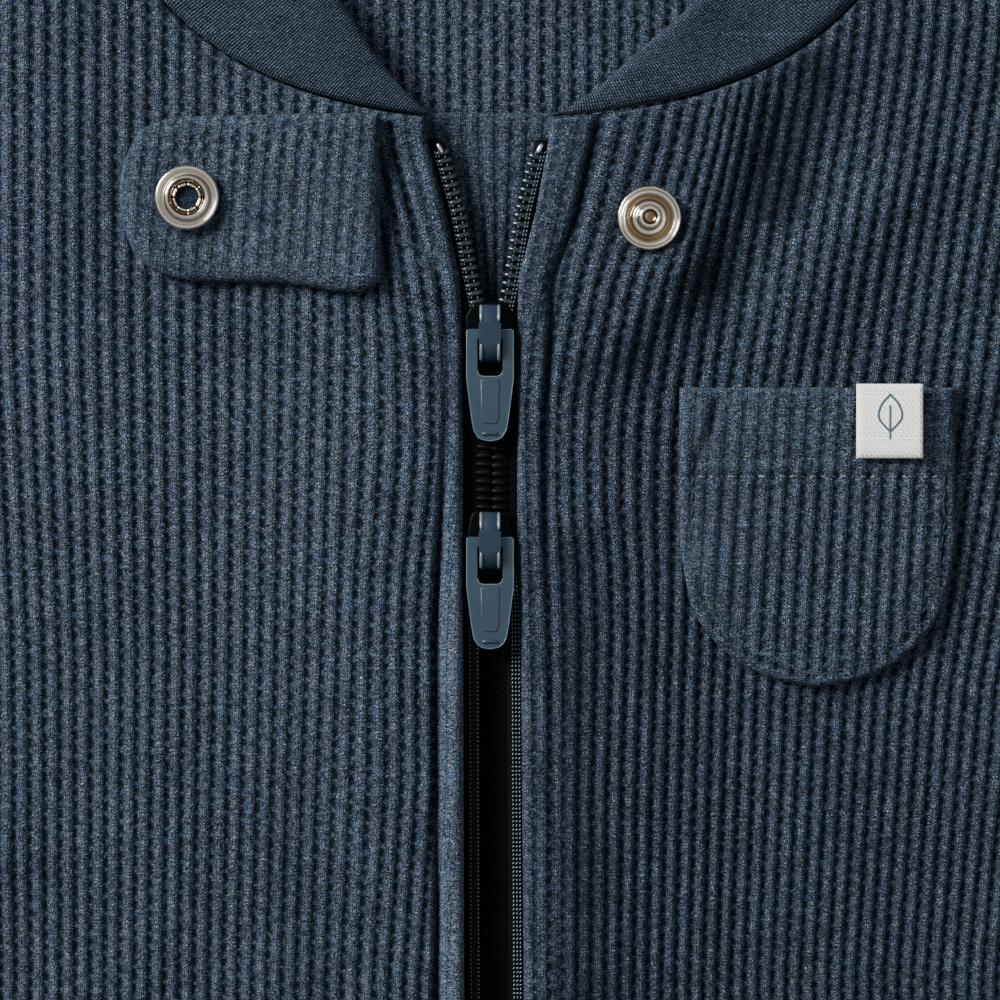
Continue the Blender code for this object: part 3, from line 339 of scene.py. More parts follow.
# Stitches and coil loops: their pitch along the line, size, turn, unevenness and seed
Stitch = namedtuple("Stitch", "pitch size turn uneven seed", defaults=(0.0, 0.0, 1))
COIL_LOOP = Stitch(TOOTH_PITCH, (2.1, 2.1, 0.85), turn=math.pi / 2, uneven=0.06)
CHAIN_STITCH = Stitch(TOOTH_PITCH / 2, (0.36, 0.24, 0.3), uneven=0.5, seed=4)
HEAD_STITCH = Stitch(TOOTH_PITCH / 2, (0.40, 0.19, 0.3), turn=0.6, uneven=0.7, seed=6)
TOP_STITCH = Stitch(2.6, (1.9, 0.36, 0.4), uneven=0.1, seed=7)
HEM_STITCH = Stitch(1.76, (1.1, 0.26, 0.26), uneven=0.45, seed=11)
EDGE_STITCH = Stitch(2.2, (1.5, 0.3, 0.3), uneven=0.2, seed=13)
LEAF_STITCH = Stitch(0.22, (0.44, 0.44, 0.16), uneven=0.2, seed=5)
CHAIN_ROWS = (-0.35, 0.6, 1.05)     # lines of stitching beside the middle of a coil
HEAD_ROWS = {RIGHT: (-0.7, 0.45), LEFT: (0.05, 0.55, 1.05)}

# Close to the camera the cloth is cut finer: its box, points in a rib, step along it, and how far
# its points stay from an edge
Zone = namedtuple("Zone", "x_low x_high y_low y_high per_rib step margin")
NEAR = Zone(x_low=-79, x_high=81, y_low=-137, y_high=22, per_rib=6, step=0.7, margin=1.9)
BACK_NECK = Zone(x_low=-40, x_high=45, y_low=-2, y_high=37, per_rib=6, step=0.9, margin=1.9)
FAR = Zone(x_low=-400, x_high=400, y_low=-600, y_high=100, per_rib=4, step=3.0, margin=2.6)
PLAIN = FAR._replace(per_rib=1, step=8)
COARSE = 9.0                # grid of the plain insides
INSIDE = FAR._replace(per_rib=1, step=COARSE, margin=2.5)
EDGE_RINGS = (0.35, 0.85, 1.5)      # extra lines of points inside an edge
EDGE_STEP_NEAR, EDGE_STEP_FAR = 0.6, 3.0
SAME_POINT = 0.2                    # points nearer than this are one

# What the camera takes in
VIEW_X, VIEW_Y = 1.2, -57.6
VIEW_WIDE = 151.5


# ---------------------------------------------------------------- lines and outlines

def smooth(t):
    t = np.clip(t, 0.0, 1.0)
    return t * t * (3 - 2 * t)


def column(rows, y, name):
    """A column of a table at height y, straight between its rows, which run downwards."""
    return np.interp(-np.asarray(y, float), [-row.y for row in rows],
                     [getattr(row, name) for row in rows])


def curve(points, step):
    """A smooth line through the points, with a point about every step."""
    ends = [points[0]] + list(points) + [points[-1]]
    line = []
    for a, b, c, d in zip(ends, ends[1:], ends[2:], ends[3:]):
        a, b, c, d = (np.array(p, float) for p in (a, b, c, d))
        count = max(1, round(float(np.linalg.norm(c - b)) / step))
        for i in range(count):
            t = i / count
            line.append(tuple(0.5 * (2 * b + (c - a) * t + (2 * a - 5 * b + 4 * c - d) * t ** 2
                                     + (3 * b - a - 3 * c + d) * t ** 3)))
    line.append(tuple(points[-1]))
    return line


def run(start, end, step):
    """A straight line from start to end, with a point about every step."""
    count = max(1, round(math.dist(start, end) / step))
    return [tuple(start[k] + (end[k] - start[k]) * i / count for k in range(len(start)))
            for i in range(count + 1)]


def steps(start, end, step):
    count = max(1, round(abs(end - start) / step))
    return [start + (end - start) * i / count for i in range(count + 1)]


def joined(*lines):
    """One closed outline from lines that follow each other, without doubled points."""
    loop = []
    for line in lines:
        for point in line:
            if not loop or math.dist(loop[-1], point) > SAME_POINT:
                loop.append(tuple(point))
    if math.dist(loop[0], loop[-1]) <= SAME_POINT:
        loop.pop()
    area = sum(a[0] * b[1] - b[0] * a[1] for a, b in zip(loop, loop[1:] + loop[:1]))
    return loop if area > 0 else loop[::-1]


def oblong(x_low, y_low, x_high, y_high, step):
    corners = [(x_low, y_low), (x_high, y_low), (x_high, y_high), (x_low, y_high)]
    return joined(*[run(a, b, step) for a, b in zip(corners, corners[1:] + corners[:1])])


def refined(loop):
    """The outline with more points, most where it is near the camera."""
    fine = []
    for a, b in zip(loop, loop[1:] + loop[:1]):
        near = NEAR.x_low < a[0] < NEAR.x_high and NEAR.y_low < a[1] < NEAR.y_high
        fine += run(a, b, EDGE_STEP_NEAR if near else EDGE_STEP_FAR)[:-1]
    return fine


def inset(loop, width):
    """The outline moved inwards by width."""
    here = np.array(loop)
    before, after = np.roll(here, 1, 0), np.roll(here, -1, 0)
    sides = []
    for edge in (here - before, after - here):
        edge = edge / np.linalg.norm(edge, axis=1, keepdims=True)
        sides.append(np.stack([-edge[:, 1], edge[:, 0]], 1))
    normal = sides[0] + sides[1]
    square = np.maximum((normal ** 2).sum(1, keepdims=True), 1.0)
    return here + 2 * width * normal / square


def along(line):
    """How far each point of the line lies from its start."""
    line = np.asarray(line, float)
    return np.concatenate([[0], np.cumsum(np.linalg.norm(np.diff(line, axis=0), axis=1))])


def resampled(line, count):
    """The line with that many evenly spaced points."""
    line = np.asarray(line, float)
    far = along(line)
    want = np.linspace(0, far[-1], count)
    return np.stack([np.interp(want, far, line[:, k]) for k in range(line.shape[1])], 1)


def zip_middle(y):
    return ZIP_BEND_X * smooth((ZIP_BEND_Y - np.asarray(y, float)) / (ZIP_BEND_Y - LEG_END_Y))


def beside_zip(side, y, part):
    """Place of a coil or a folded edge."""
    return zip_middle(y) + side * column(ZIP, y, part + "_" + HAND[side])


def zip_low(y):
    return ZIP_LOW + (ANKLE_LOW - ZIP_LOW) * smooth((ZIP_SINK_Y - y) / (ZIP_SINK_Y - ZIP_END_Y))


def near_line(fold, x, y):
    """1 on a fold's line, dying away over its width."""
    dx, dy = fold.x2 - fold.x1, fold.y2 - fold.y1
    t = np.clip(((x - fold.x1) * dx + (y - fold.y1) * dy) / (dx * dx + dy * dy), 0, 1)
    return np.exp(-(np.hypot(x - fold.x1 - t * dx, y - fold.y1 - t * dy) / fold.wide) ** 2)


def raised(folds, x, y):
    return sum(fold.rise * near_line(fold, x, y) for fold in folds)


def lift(x, y):
    """Inside of the front: on the back, over the zip, and raised in the folds."""
    x, y = np.asarray(x, float), np.asarray(y, float)
    left = x > zip_middle(y)
    away = np.where(left, x - beside_zip(LEFT, y, "coil"), beside_zip(RIGHT, y, "coil") - x)
    high = 1 - smooth((away - HUMP_FLAT) / np.where(left, HUMP_RUN_LEFT, HUMP_RUN))
    rise = raised(FOLDS, x, y)
    return np.maximum(FRONT_LOW, FRONT_LOW + (zip_low(y) - FRONT_LOW) * high + rise * (1 - high))


def level_at(z):
    """A height function that is z everywhere."""
    return lambda x, *others: z + 0 * x


def on_front(x, y):
    """Underside of what lies on the front, clear of its rib crests."""
    return lift(x, y) + CLOTH + RIB_RISE + GAP


def neck_seam(side, step):
    """Front neck seam from the zip out to the shoulder."""
    neck = NECK[side]
    start = math.asin((abs(float(beside_zip(side, 0, "fold"))) / neck.half) ** (neck.power / 2))
    turn = math.pi / 2 - start
    count = round(turn * neck.half * 1.1 / step)
    line = []
    for i in range(count + 1):
        angle = start + turn * i / count
        line.append((side * neck.half * math.sin(angle) ** (2 / neck.power),
                     NECK_HIGH_Y * (1 - max(math.cos(angle), 0.0) ** (2 / neck.power))))
    return line


def fold_edge(side):
    top_y = neck_seam(side, 8.0)[0][1]
    levels = steps(top_y, -84, 2) + steps(-86, LEG_END_Y, 4)
    return [(float(beside_zip(side, y, "fold")), y) for y in levels]


def side_seam(side):
    return curve([(side * row.x, row.y) for row in SIDE_SEAM], 4)


def inseam(side):
    return curve([(side * row.x, row.y) for row in INSEAM], 4)


def armhole(side):
    middle_x = (SHOULDER_X + UNDERARM_X) / 2 - ARMHOLE_IN
    middle_y = (SHOULDER_Y + UNDERARM_Y) / 2 - ARMHOLE_DOWN
    return curve([(side * SHOULDER_X, SHOULDER_Y), (side * middle_x, middle_y),
                  (side * UNDERARM_X, UNDERARM_Y)], 4)


def shoulder(side):
    return run((side * NECK[side].half, NECK_HIGH_Y), (side * SHOULDER_X, SHOULDER_Y), 4)


def leg_end(start, end):
    return run((start, LEG_END_Y), (end, LEG_END_Y), 3)


def front_outline(side):
    """The right front runs on past the crotch, because the zip goes down the left leg."""
    low_fold = float(beside_zip(side, LEG_END_Y, "fold"))
    upper = [neck_seam(side, 1.5), shoulder(side), armhole(side), side_seam(side)]
    if side == RIGHT:
        legs = [leg_end(-LEG_OUT_X, -LEG_IN_X), inseam(RIGHT), inseam(LEFT)[::-1],
                leg_end(LEG_IN_X, low_fold)]
    else:
        legs = [leg_end(LEG_OUT_X, low_fold)]
    return joined(*upper, *legs, fold_edge(side)[::-1])


def back_neck(up):
    turn_y = NECK_BACK_Y + NECK_TURN_RISE
    points = [(-NECK[RIGHT].half, NECK_HIGH_Y), (-NECK[RIGHT].half * NECK_TURN, turn_y),
              (0, NECK_BACK_Y),
              (NECK[LEFT].half * NECK_TURN, turn_y), (NECK[LEFT].half, NECK_HIGH_Y)]
    return curve([(x, y + up) for x, y in points], 2)


def back_outline():
    return joined(
        back_neck(0), shoulder(LEFT), armhole(LEFT), side_seam(LEFT),
        leg_end(LEG_OUT_X, LEG_IN_X), inseam(LEFT), inseam(RIGHT)[::-1],
        leg_end(-LEG_IN_X, -LEG_OUT_X), side_seam(RIGHT)[::-1],
        armhole(RIGHT)[::-1], shoulder(RIGHT)[::-1])


# ---------------------------------------------------------------- cloth

def mesh_object(name, points, faces, material, uv=None, press_and_painted_shade=None):
    """An object from points in millimetres; its place is in its mesh."""
    points = np.asarray(points, float) * MM
    points[:, 1] -= MIDDLE_Y * MM
    mesh = bpy.data.meshes.new(name)
    mesh.from_pydata(points.tolist(), [], faces)
    mesh.materials.append(material)
    if uv is not None:
        corner = np.empty(len(mesh.loops), int)
        mesh.loops.foreach_get("vertex_index", corner)
        layer = mesh.uv_layers.new(name="knit")
        layer.uv.foreach_set("vector", np.asarray(uv, float)[corner].ravel())
    if press_and_painted_shade is not None:
        share = mesh.attributes.new("press_and_painted_shade", "FLOAT", "POINT")
        share.data.foreach_set("value", np.asarray(press_and_painted_shade, float))
    mesh.shade_smooth()
    return stood(name, mesh)


def stood(name, data):
    """An object of that mesh, lamp or camera, in the scene."""
    item = bpy.data.objects.new(name, data)
    bpy.context.scene.collection.objects.link(item)
    return item


def straight_ribs(pitch, first=0.0, slant=0.0):
    """Evenly spaced ribs: the place of rib k at height y, and the rib at a place."""
    def place(k, y):
        return first + k * pitch + slant * y

    def number(x, y):
        return (x - first - slant * y) / pitch

    return place, number


def front_ribs(side):
    """Ribs of a front, which draw together, drift and bow as the tables say."""
    rows = GRAIN[side]

    def place(k, y):
        bow = column(BOW, y, HAND[side]) * smooth(1 - (np.abs(k) - 1) / BOW_RIBS)
        return (column(rows, y, "first") + side * k * column(rows, y, "pitch")
                + column(rows, y, "drift") * (1 - np.clip(k, 0, 40) / 90) + bow)

    def number(x, y):
        k = side * (x - column(rows, y, "first")) / column(rows, y, "pitch")
        for _ in range(12):
            k = k + side * (x - place(k, y)) / column(rows, y, "pitch")
        return k

    return place, number


def crossings(loop, y):
    """Where a level line crosses the outline, from left to right."""
    a = np.array(loop)
    b = np.roll(a, -1, 0)
    cut = (a[:, 1] > y) != (b[:, 1] > y)
    a, b = a[cut], b[cut]
    return np.sort(a[:, 0] + (y - a[:, 1]) * (b[:, 0] - a[:, 0]) / (b[:, 1] - a[:, 1]))


def inside(loop, point):
    """Whether a point lies within an outline."""
    return (crossings(loop, point[1]) < point[0]).sum() % 2 == 1


def zone_points(loop, ribs, zone, hole=None):
    """Points along the rib lines inside the outline and the zone, but not in the hole."""
    place, number = ribs
    low, high = np.min(loop, 0), np.max(loop, 0)
    found = []
    y_low, y_high = max(zone.y_low, low[1]), min(zone.y_high, high[1])
    for y in np.arange(y_low + zone.step / 3, y_high, zone.step):
        cuts = crossings(loop, y)
        ends = sorted((float(number(low[0], y)), float(number(high[0], y))))
        k = np.arange(math.floor(ends[0]), math.ceil(ends[1]) + 1, 1 / zone.per_rib)
        x = place(k, y)
        keep = (np.searchsorted(cuts, x) % 2 == 1) & (x > zone.x_low) & (x < zone.x_high)
        if hole and hole.y_low < y < hole.y_high:
            keep &= (x < hole.x_low) | (x > hole.x_high)
        found.append(np.stack([x[keep], np.full(keep.sum(), y)], 1))
    return np.concatenate(found) if found else np.zeros((0, 2))


def filled(loop, spots):
    """Triangles over the outline and the free points: points, faces and the rim's places."""
    count = len(loop)
    points = [tuple(p) for p in loop] + [tuple(p) for p in spots]
    edges = [(i, (i + 1) % count) for i in range(count)]
    made, _, faces, source, _, _ = delaunay_2d_cdt(points, edges, [], 1, 1e-5)
    place = {old: new for new, olds in enumerate(source) for old in olds if old < count}
    return np.array([tuple(p) for p in made]), [list(face) for face in faces], place


def edge_finder(loop):
    """Gives how far a point lies from the outline."""
    dense = []
    for a, b in zip(loop, loop[1:] + loop[:1]):
        dense += run(a, b, math.dist(a, b) / 4)[:4]
    tree = KDTree(len(dense))
    for i, (x, y) in enumerate(dense):
        tree.insert((x, y, 0), i)
    tree.balance()
    return lambda point: tree.find((point[0], point[1], 0))[2]


def cloth(name, outline, low, top, ribs, material, turn=None, zones=(NEAR, FAR), flip=False,
          press_and_shade=None):
    """A sheet of knit: ribbed points over a plain inside, closed round its edge.

    low(x, y) is the inside; top(x, y, k, far) is the outside, where k is the rib and far the
    distance from the edge. turn places flat points on the garment. The pressing and shading
    function of (x, y, far) is 1 or more where the ribs are pressed flat, and above 1 they are also
    painted lighter; it is 0 where they stand, and below 0 where shade is painted darker, as at -1
    where the cloth sinks into a seam.
    The first zone is the finest, and the others leave its box free.
    """
    loop = refined(outline)
    from_edge = edge_finder(loop)
    spots = []
    for width in EDGE_RINGS:
        spots += [p for p in inset(loop, width) if from_edge(p) > 0.85 * width]
    for zone in zones:
        grid = zone_points(loop, ribs, zone, None if zone == zones[0] else zones[0])
        spots += [p for p in grid if from_edge(p) > zone.margin]
    flat, faces, rim = filled(loop, spots)
    far = np.array([from_edge(p) for p in flat])
    far[list(rim.values())] = 0.0
    x, y = flat.T
    k = ribs[1](x, y)
    upper = np.column_stack([x, y, top(x, y, k, far)])
    press_and_painted_shade = press_and_shade(x, y, far) if press_and_shade else 0 * x
    inner = zone_points(loop, straight_ribs(COARSE), INSIDE)
    inner = [p for p in inner if from_edge(p) > INSIDE.margin]
    flat_low, faces_low, rim_low = filled(loop, inner)
    x, y = flat_low.T
    lower = np.column_stack([x, y, low(x, y)])
    first = len(upper)
    faces = faces + [[first + i for i in face[::-1]] for face in faces_low]
    count = len(loop)
    for i in range(count):
        j = (i + 1) % count
        faces.append([first + rim_low[i], first + rim_low[j], rim[j], rim[i]])
    points = np.concatenate([upper, lower])
    uv = np.column_stack([np.concatenate([k, ribs[1](x, y)]), points[:, 1]])
    if turn:
        points[:, 0], points[:, 1] = turn(points[:, 0], points[:, 1])
    if flip:
        faces = [face[::-1] for face in faces]
    press_and_painted_shade = np.concatenate([press_and_painted_shade, np.zeros(len(lower))])
    return mesh_object(name, points, faces, material, uv, press_and_painted_shade)


def rolled(far, roll=SEAM_ROLL, least=0.3):
    """Share of the wall's thickness near a rounded edge."""
    return least + (1 - least) * np.sqrt(1 - (1 - np.clip(far / roll, 0, 1)) ** 2)


def rib_shape(k):
    """Height share across a rib: round crests between grooves at the whole numbers."""
    beside = np.abs(k - np.round(k))
    return smooth((beside - 0.02) / 0.36)


def strip_relief(side, x, y):
    """Beside the zip the cloth is turned under and sewn down.

    Gives the ribs' share, the extra height, and how far the cloth sinks into the seam, which is
    also painted darker as the seam's shade.
    """
    from_fold = side * (x - beside_zip(side, y, "fold"))
    seam = column(TOPSTITCH, y, HAND[side])
    outside = smooth((from_fold - seam) / 1.2)
    within = np.clip(from_fold / seam, 0, 1)
    firm = SEAM_FIRM[side]
    least = column(firm, y, "ribs")
    share = least + (1 - least) * outside
    puff = (0.5 - 0.4 * least) * np.sin(np.pi * within) + 0.1 * np.sin(3 * np.pi * within)
    deep = column(firm, y, "deep")
    sink_and_painted_shade = np.exp(-((from_fold - seam) / column(firm, y, "wide")) ** 2)
    return share, puff - deep * sink_and_painted_shade, sink_and_painted_shade * np.minimum(1.0, deep)


def front_cloth(side, name, material):
    ribs = front_ribs(side)

    def top(x, y, k, far):
        share, extra, _ = strip_relief(side, x, y)
        if side == LEFT:
            share = share * smooth((np.hypot(x - STUD_X, y - STUD_Y) - 4.6) / 2.4)
        relief = RIB_RISE * rib_shape(k) * share * smooth(far / 1.1) + extra * smooth(far / 0.6)
        return lift(x, y) + CLOTH * rolled(far) + relief

    def press_and_shade(x, y, far):
        share, _, sink_and_painted_shade = strip_relief(side, x, y)
        # Painted shade: darker in the lee of the folds and, on the right, in the shadow the tab
        # casts beside its root
        shade = np.minimum(-raised(SHADES[side], x, y), SHADE_MOST)
        if side == RIGHT:
            tab_painted_shadow = (np.exp(-((x - TAB_ROOT_X - 1.1) / 0.9) ** 2)
                         * smooth((y - TAB_LOW_Y) / 3) * smooth((0.5 - y) / 3))
            shade = np.maximum(shade, 0.8 * tab_painted_shadow)
        seam = SEAM_PRESS_AND_PAINTED_LIGHT[side]
        flat = seam.most * (1 - share) ** seam.sharp
        return flat * (1 - sink_and_painted_shade) - np.maximum(sink_and_painted_shade, shade)

    return cloth(name, front_outline(side), lift, top, ribs, material, press_and_shade=press_and_shade)


def back_cloth(material):
    def top(x, y, k, far):
        groove = NECK_RIB_DEEP * (1 - rib_shape(k)) * smooth((y + 12) / 6)
        return CLOTH * rolled(far, least=0.6) - groove

    return cloth("back_panel", back_outline(), level_at(0), top, straight_ribs(RIB_PITCH, 0.6),
                 material, zones=(BACK_NECK, PLAIN))


def band(name, seam, edge, low, wall, pitch, across, material):
    """Folded rib band between its seam and its free edge, with wales across it."""
    long = max(along(seam)[-1], along(edge)[-1])
    wales = round(long / pitch)
    per_wale = 4
    count = wales * per_wale + 1
    seam, edge = resampled(seam, count), resampled(edge, count)
    v = np.linspace(0, 1, across)
    flat = seam[:, None, :] * (1 - v[None, :, None]) + edge[:, None, :] * v[None, :, None]
    x, y = flat[..., 0], flat[..., 1]
    wide = np.linalg.norm(edge - seam, axis=1)[:, None]
    u = np.arange(count)[:, None] / per_wale + 0 * x
    wale = 0.5 - 0.5 * np.cos(2 * np.pi * u)
    from_seam, from_edge = v[None, :] * wide, (1 - v[None, :]) * wide
    body = rolled(from_seam, 1.6, 0.35) * rolled(from_edge, 1.8, 0.3)
    fade = smooth(from_edge / 0.5) * smooth(from_seam / 0.4)
    floor = low(x, y)
    upper = np.stack([x, y, floor + wall * body + BAND_RIPPLE * (wale - 1) * fade], -1)
    lower = np.stack([x[:, [0, -1]], y[:, [0, -1]], floor[:, [0, -1]]], -1)
    points = np.concatenate([upper.reshape(-1, 3), lower.reshape(-1, 3)])
    uv_low = np.stack([u[:, [0, -1]], wide * np.array([[0.0, 1.0]])], -1).reshape(-1, 2)
    uv = np.concatenate([np.stack([u, v[None, :] * wide], -1).reshape(-1, 2), uv_low])
    first = count * across
    faces = []
    for i in range(count - 1):
        here, there = i * across, (i + 1) * across
        faces += [[here + j, there + j, there + j + 1, here + j + 1] for j in range(across - 1)]
        a, b = first + 2 * i, first + 2 * (i + 1)
        faces.append([a + 1, b + 1, b, a])
        faces.append([a, b, there, here])
        faces.append([here + across - 1, there + across - 1, b + 1, a + 1])
    for i, turned in ((0, False), (count - 1, True)):
        end = [i * across + j for j in range(across)] + [first + 2 * i + 1, first + 2 * i]
        faces.append(end[::-1] if turned else end)
    item = mesh_object(name, points, faces, material, uv)
    outward(item)
    return item


def outward(item):
    """Turns the faces of a closed mesh outwards."""
    mesh = bmesh.new()
    mesh.from_mesh(item.data)
    bmesh.ops.recalc_face_normals(mesh, faces=mesh.faces[:])
    mesh.to_mesh(item.data)
    mesh.free()


def neckbands(material, shaded):
    made = {}
    for side, shade in ((RIGHT, shaded), (LEFT, material)):
        seam = [(x - side * GAP * 0.6, y + GAP) for x, y in neck_seam(side, 1.5)]
        made[HAND[side]] = band("neck_rib_" + HAND[side], seam, curve(BAND_EDGE[side], 2), lift,
                                BAND_WALL, BAND_WALE, 24, shade)
    edge = curve([BAND_EDGE[RIGHT][-1], (0, BAND_TOP - 2), BAND_EDGE[LEFT][-1]], 2)
    made["back"] = band("neck_rib_back", back_neck(GAP), edge, level_at(0), CLOTH,
                        BACK_BAND_WALE, 14, material)
    return made


def cuff(name, corners, material):
    """A rib tube pressed flat, with an outer and an inner wall and an open mouth."""
    root_a, root_b, end_b, end_a = (np.array(c, float) for c in corners)
    per_wale, rings = 4, 15
    count = CUFF_WALES * per_wale
    turn = np.arange(count) / count
    s = np.where(turn < 0.5, 1 - 4 * turn, 4 * turn - 3)
    rise = np.where(turn < 0.5, 1, -1) * (1 - np.abs(s) ** CUFF_SQUARE) ** 0.25
    ripple = 0.5 - 0.5 * np.cos(2 * np.pi * turn * CUFF_WALES)
    levels = np.linspace(0, 1, rings)
    shells, uv = [], []
    for inner in (False, True):
        for t in (levels[::-1] if inner else levels):
            a, b = root_a * (1 - t) + end_a * t, root_b * (1 - t) + end_b * t
            middle, half = (a + b) / 2, (b - a) / 2
            mouth = smooth((t - 0.7) / 0.3)
            trim = 1 - (CUFF_WALL / np.linalg.norm(half) if inner else 0.0)
            flat = middle + np.outer(s * trim, half)
            if inner:
                height = CUFF_TOP / 2 + rise * (GAP / 2 + 0.35 * mouth)
            else:
                edge = 1 - 0.28 * (smooth(1 - t * 14) + smooth(1 - (1 - t) * 14))
                height = CUFF_TOP / 2 + rise * (CUFF_TOP / 2 * edge)
                height = np.where(rise > 0, height - CUFF_RIPPLE * (1 - ripple) * edge, height)
            shells.append(np.column_stack([flat, height]))
            uv.append(np.column_stack([turn * CUFF_WALES, np.full(count, t * CUFF_LONG)]))
    faces = []
    total = len(shells)
    for i in range(total):
        here, there = i * count, ((i + 1) % total) * count
        faces += [[here + j, here + (j + 1) % count, there + (j + 1) % count, there + j]
                  for j in range(count)]
    item = mesh_object(name, np.concatenate(shells), faces, material, np.concatenate(uv))
    outward(item)
    return item


def cuff_corners(low, high, root, reach):
    end = root + reach
    return [(low, root), (high, root), (high - CUFF_TAPER, end), (low + CUFF_TAPER, end)]


def sleeve_turn(side):
    """Places sleeve points (across, along) on the garment; along runs down the arm."""
    along_x, along_y = side * math.cos(SLEEVE_DROP), -math.sin(SLEEVE_DROP)
    across_x, across_y = -side * math.sin(SLEEVE_DROP), -math.cos(SLEEVE_DROP)

    def place(u, v):
        return (side * SHOULDER_X + across_x * u + along_x * v,
                SHOULDER_Y + across_y * u + along_y * v)

    def back(x, y):
        dx, dy = x - side * SHOULDER_X, y - SHOULDER_Y
        return dx * across_x + dy * across_y, dx * along_x + dy * along_y

    return place, back


def sleeve(name, side, knit):
    """A tube pressed flat: an upper and an under sheet that meet along the arm."""
    place, back = sleeve_turn(side)
    head = [back(x, y) for x, y in armhole(side)]
    head = [(u, v + GAP) for u, v in head]
    under_u, under_v = head[-1]
    wrist_u = WRIST_LOW + WRIST_WIDE
    top_edge = curve([(0, GAP), (-2.5, SLEEVE_LONG / 2), (WRIST_LOW, SLEEVE_LONG)], 4)
    low_edge = curve([(under_u, under_v), (under_u - 9, (under_v + SLEEVE_LONG) / 2),
                      (wrist_u, SLEEVE_LONG)], 4)
    wrist = run((WRIST_LOW, SLEEVE_LONG), (wrist_u, SLEEVE_LONG), 3)
    outline = joined(head, low_edge, wrist[::-1], top_edge[::-1])
    ribs = straight_ribs(RIB_PITCH)
    joint = CLOTH + GAP / 2

    def top(x, y, k, far):
        relief = RIB_RISE * rib_shape(k) * smooth(far / 1.2)
        creases = raised(SLEEVE_CREASES, x, y) * smooth(far / 12)
        return joint + GAP / 2 + CLOTH * rolled(far, 2.2, 0.05) + relief + creases

    upper = cloth(name + "_upper", outline, level_at(joint + GAP / 2 - 0.02), top,
                  ribs, knit, turn=place, zones=(FAR,), flip=side == LEFT)
    under = cloth(name + "_under", outline, level_at(0), level_at(joint - GAP / 2), ribs, knit,
                  turn=place, zones=(PLAIN,), flip=side == LEFT)
    cuff_u = WRIST_LOW + (WRIST_WIDE - WRIST_CUFF_WIDE) / 2
    corners = cuff_corners(cuff_u, cuff_u + WRIST_CUFF_WIDE, SLEEVE_LONG + GAP, CUFF_LONG)
    return join([upper, under], name), [place(u, v) for u, v in corners]


def join(items, name):
    """One object from several, under the first one's materials."""
    mesh = bmesh.new()
    for item in items:
        mesh.from_mesh(item.data)
    first = items[0]
    mesh.to_mesh(first.data)
    mesh.free()
    for item in items[1:]:
        bpy.data.objects.remove(item, do_unlink=True)
    first.name = name
    return first


# ---------------------------------------------------------------- pieces laid on the panels

def zip_cloths(knit, plain, woven):
    """The ribbed guard behind the zip's opening, the strip below it, painted near black as the
    shade in the opening, and the two tapes.
    """
    guard = oblong(-GUARD_HALF, GUARD_END_Y, GUARD_HALF, GUARD_TOP_Y, 2)
    # The guard is painted darker than the fronts, and darker still further down, as shade deep in
    # the zip's opening
    made = [cloth("zip_guard_knit", guard, level_at(FRONT_LOW),
                  lambda x, y, k, far: (FRONT_LOW + GUARD_WALL * rolled(far)
                                        + GUARD_RIB * rib_shape(k) * smooth(far / 1.2)),
                  guard_ribs(), knit, zones=(NEAR._replace(step=0.9),),
                  press_and_shade=lambda x, y, far: 0.45 - 1.15 * smooth((-y - 5) / 24))]
    levels = steps(GUARD_END_Y - GAP, BACKING_END_Y, 6)
    outline = joined([(float(zip_middle(y)) - GUARD_HALF, y) for y in levels],
                     [(float(zip_middle(y)) + GUARD_HALF, y) for y in reversed(levels)])
    made.append(cloth("zip_backing_strip", outline, level_at(FRONT_LOW),
                      lambda x, y, k, far: FRONT_LOW + GUARD_WALL * rolled(far),
                      straight_ribs(3.0), plain, zones=(PLAIN._replace(step=4),)))
    profile = [(-TAPE_INNER, -TAPE), (TAPE_REACH, -TAPE), (TAPE_REACH, 0), (1.2, 0), (0.8, 0.1),
               (0.35, 0.22), (-0.35, 0.22), (-TAPE_INNER, 0.05)]
    for side, name in HAND.items():
        rings, uv = [], []
        for y in steps(ZIP_TOP_Y, NEAR.y_low, 1.5) + steps(NEAR.y_low - 6, ZIP_END_Y, 6):
            x, top = float(beside_zip(side, y, "coil")), float(zip_low(y)) - GAP
            rings.append([(x + side * out, y, top + up) for out, up in profile])
            uv += [(out, y) for out, _ in profile]
        made.append(loft("zip_tape_weave_" + name, rings, woven, uv))
    return made


def guard_ribs():
    """Ribs of the guard, drawn together towards the zip."""
    first = 0.6

    def pitch(y):
        return GUARD_PITCH * (0.5 + 0.5 * smooth((y + 32) / 34))

    return (lambda k, y: first + k * pitch(y)), (lambda x, y: (x - first) / pitch(y))


def loft(name, rings, material, uv=None):
    """A closed form through rings with as many points each, capped at both ends."""
    size = len(rings[0])
    points = [point for ring in rings for point in ring]
    faces = [list(range(size))[::-1], list(range(len(points) - size, len(points)))]
    for i in range(len(rings) - 1):
        a, b = i * size, (i + 1) * size
        faces += [[a + k, a + (k + 1) % size, b + (k + 1) % size, b + k] for k in range(size)]
    item = mesh_object(name, points, faces, material, uv)
    outward(item)
    return item


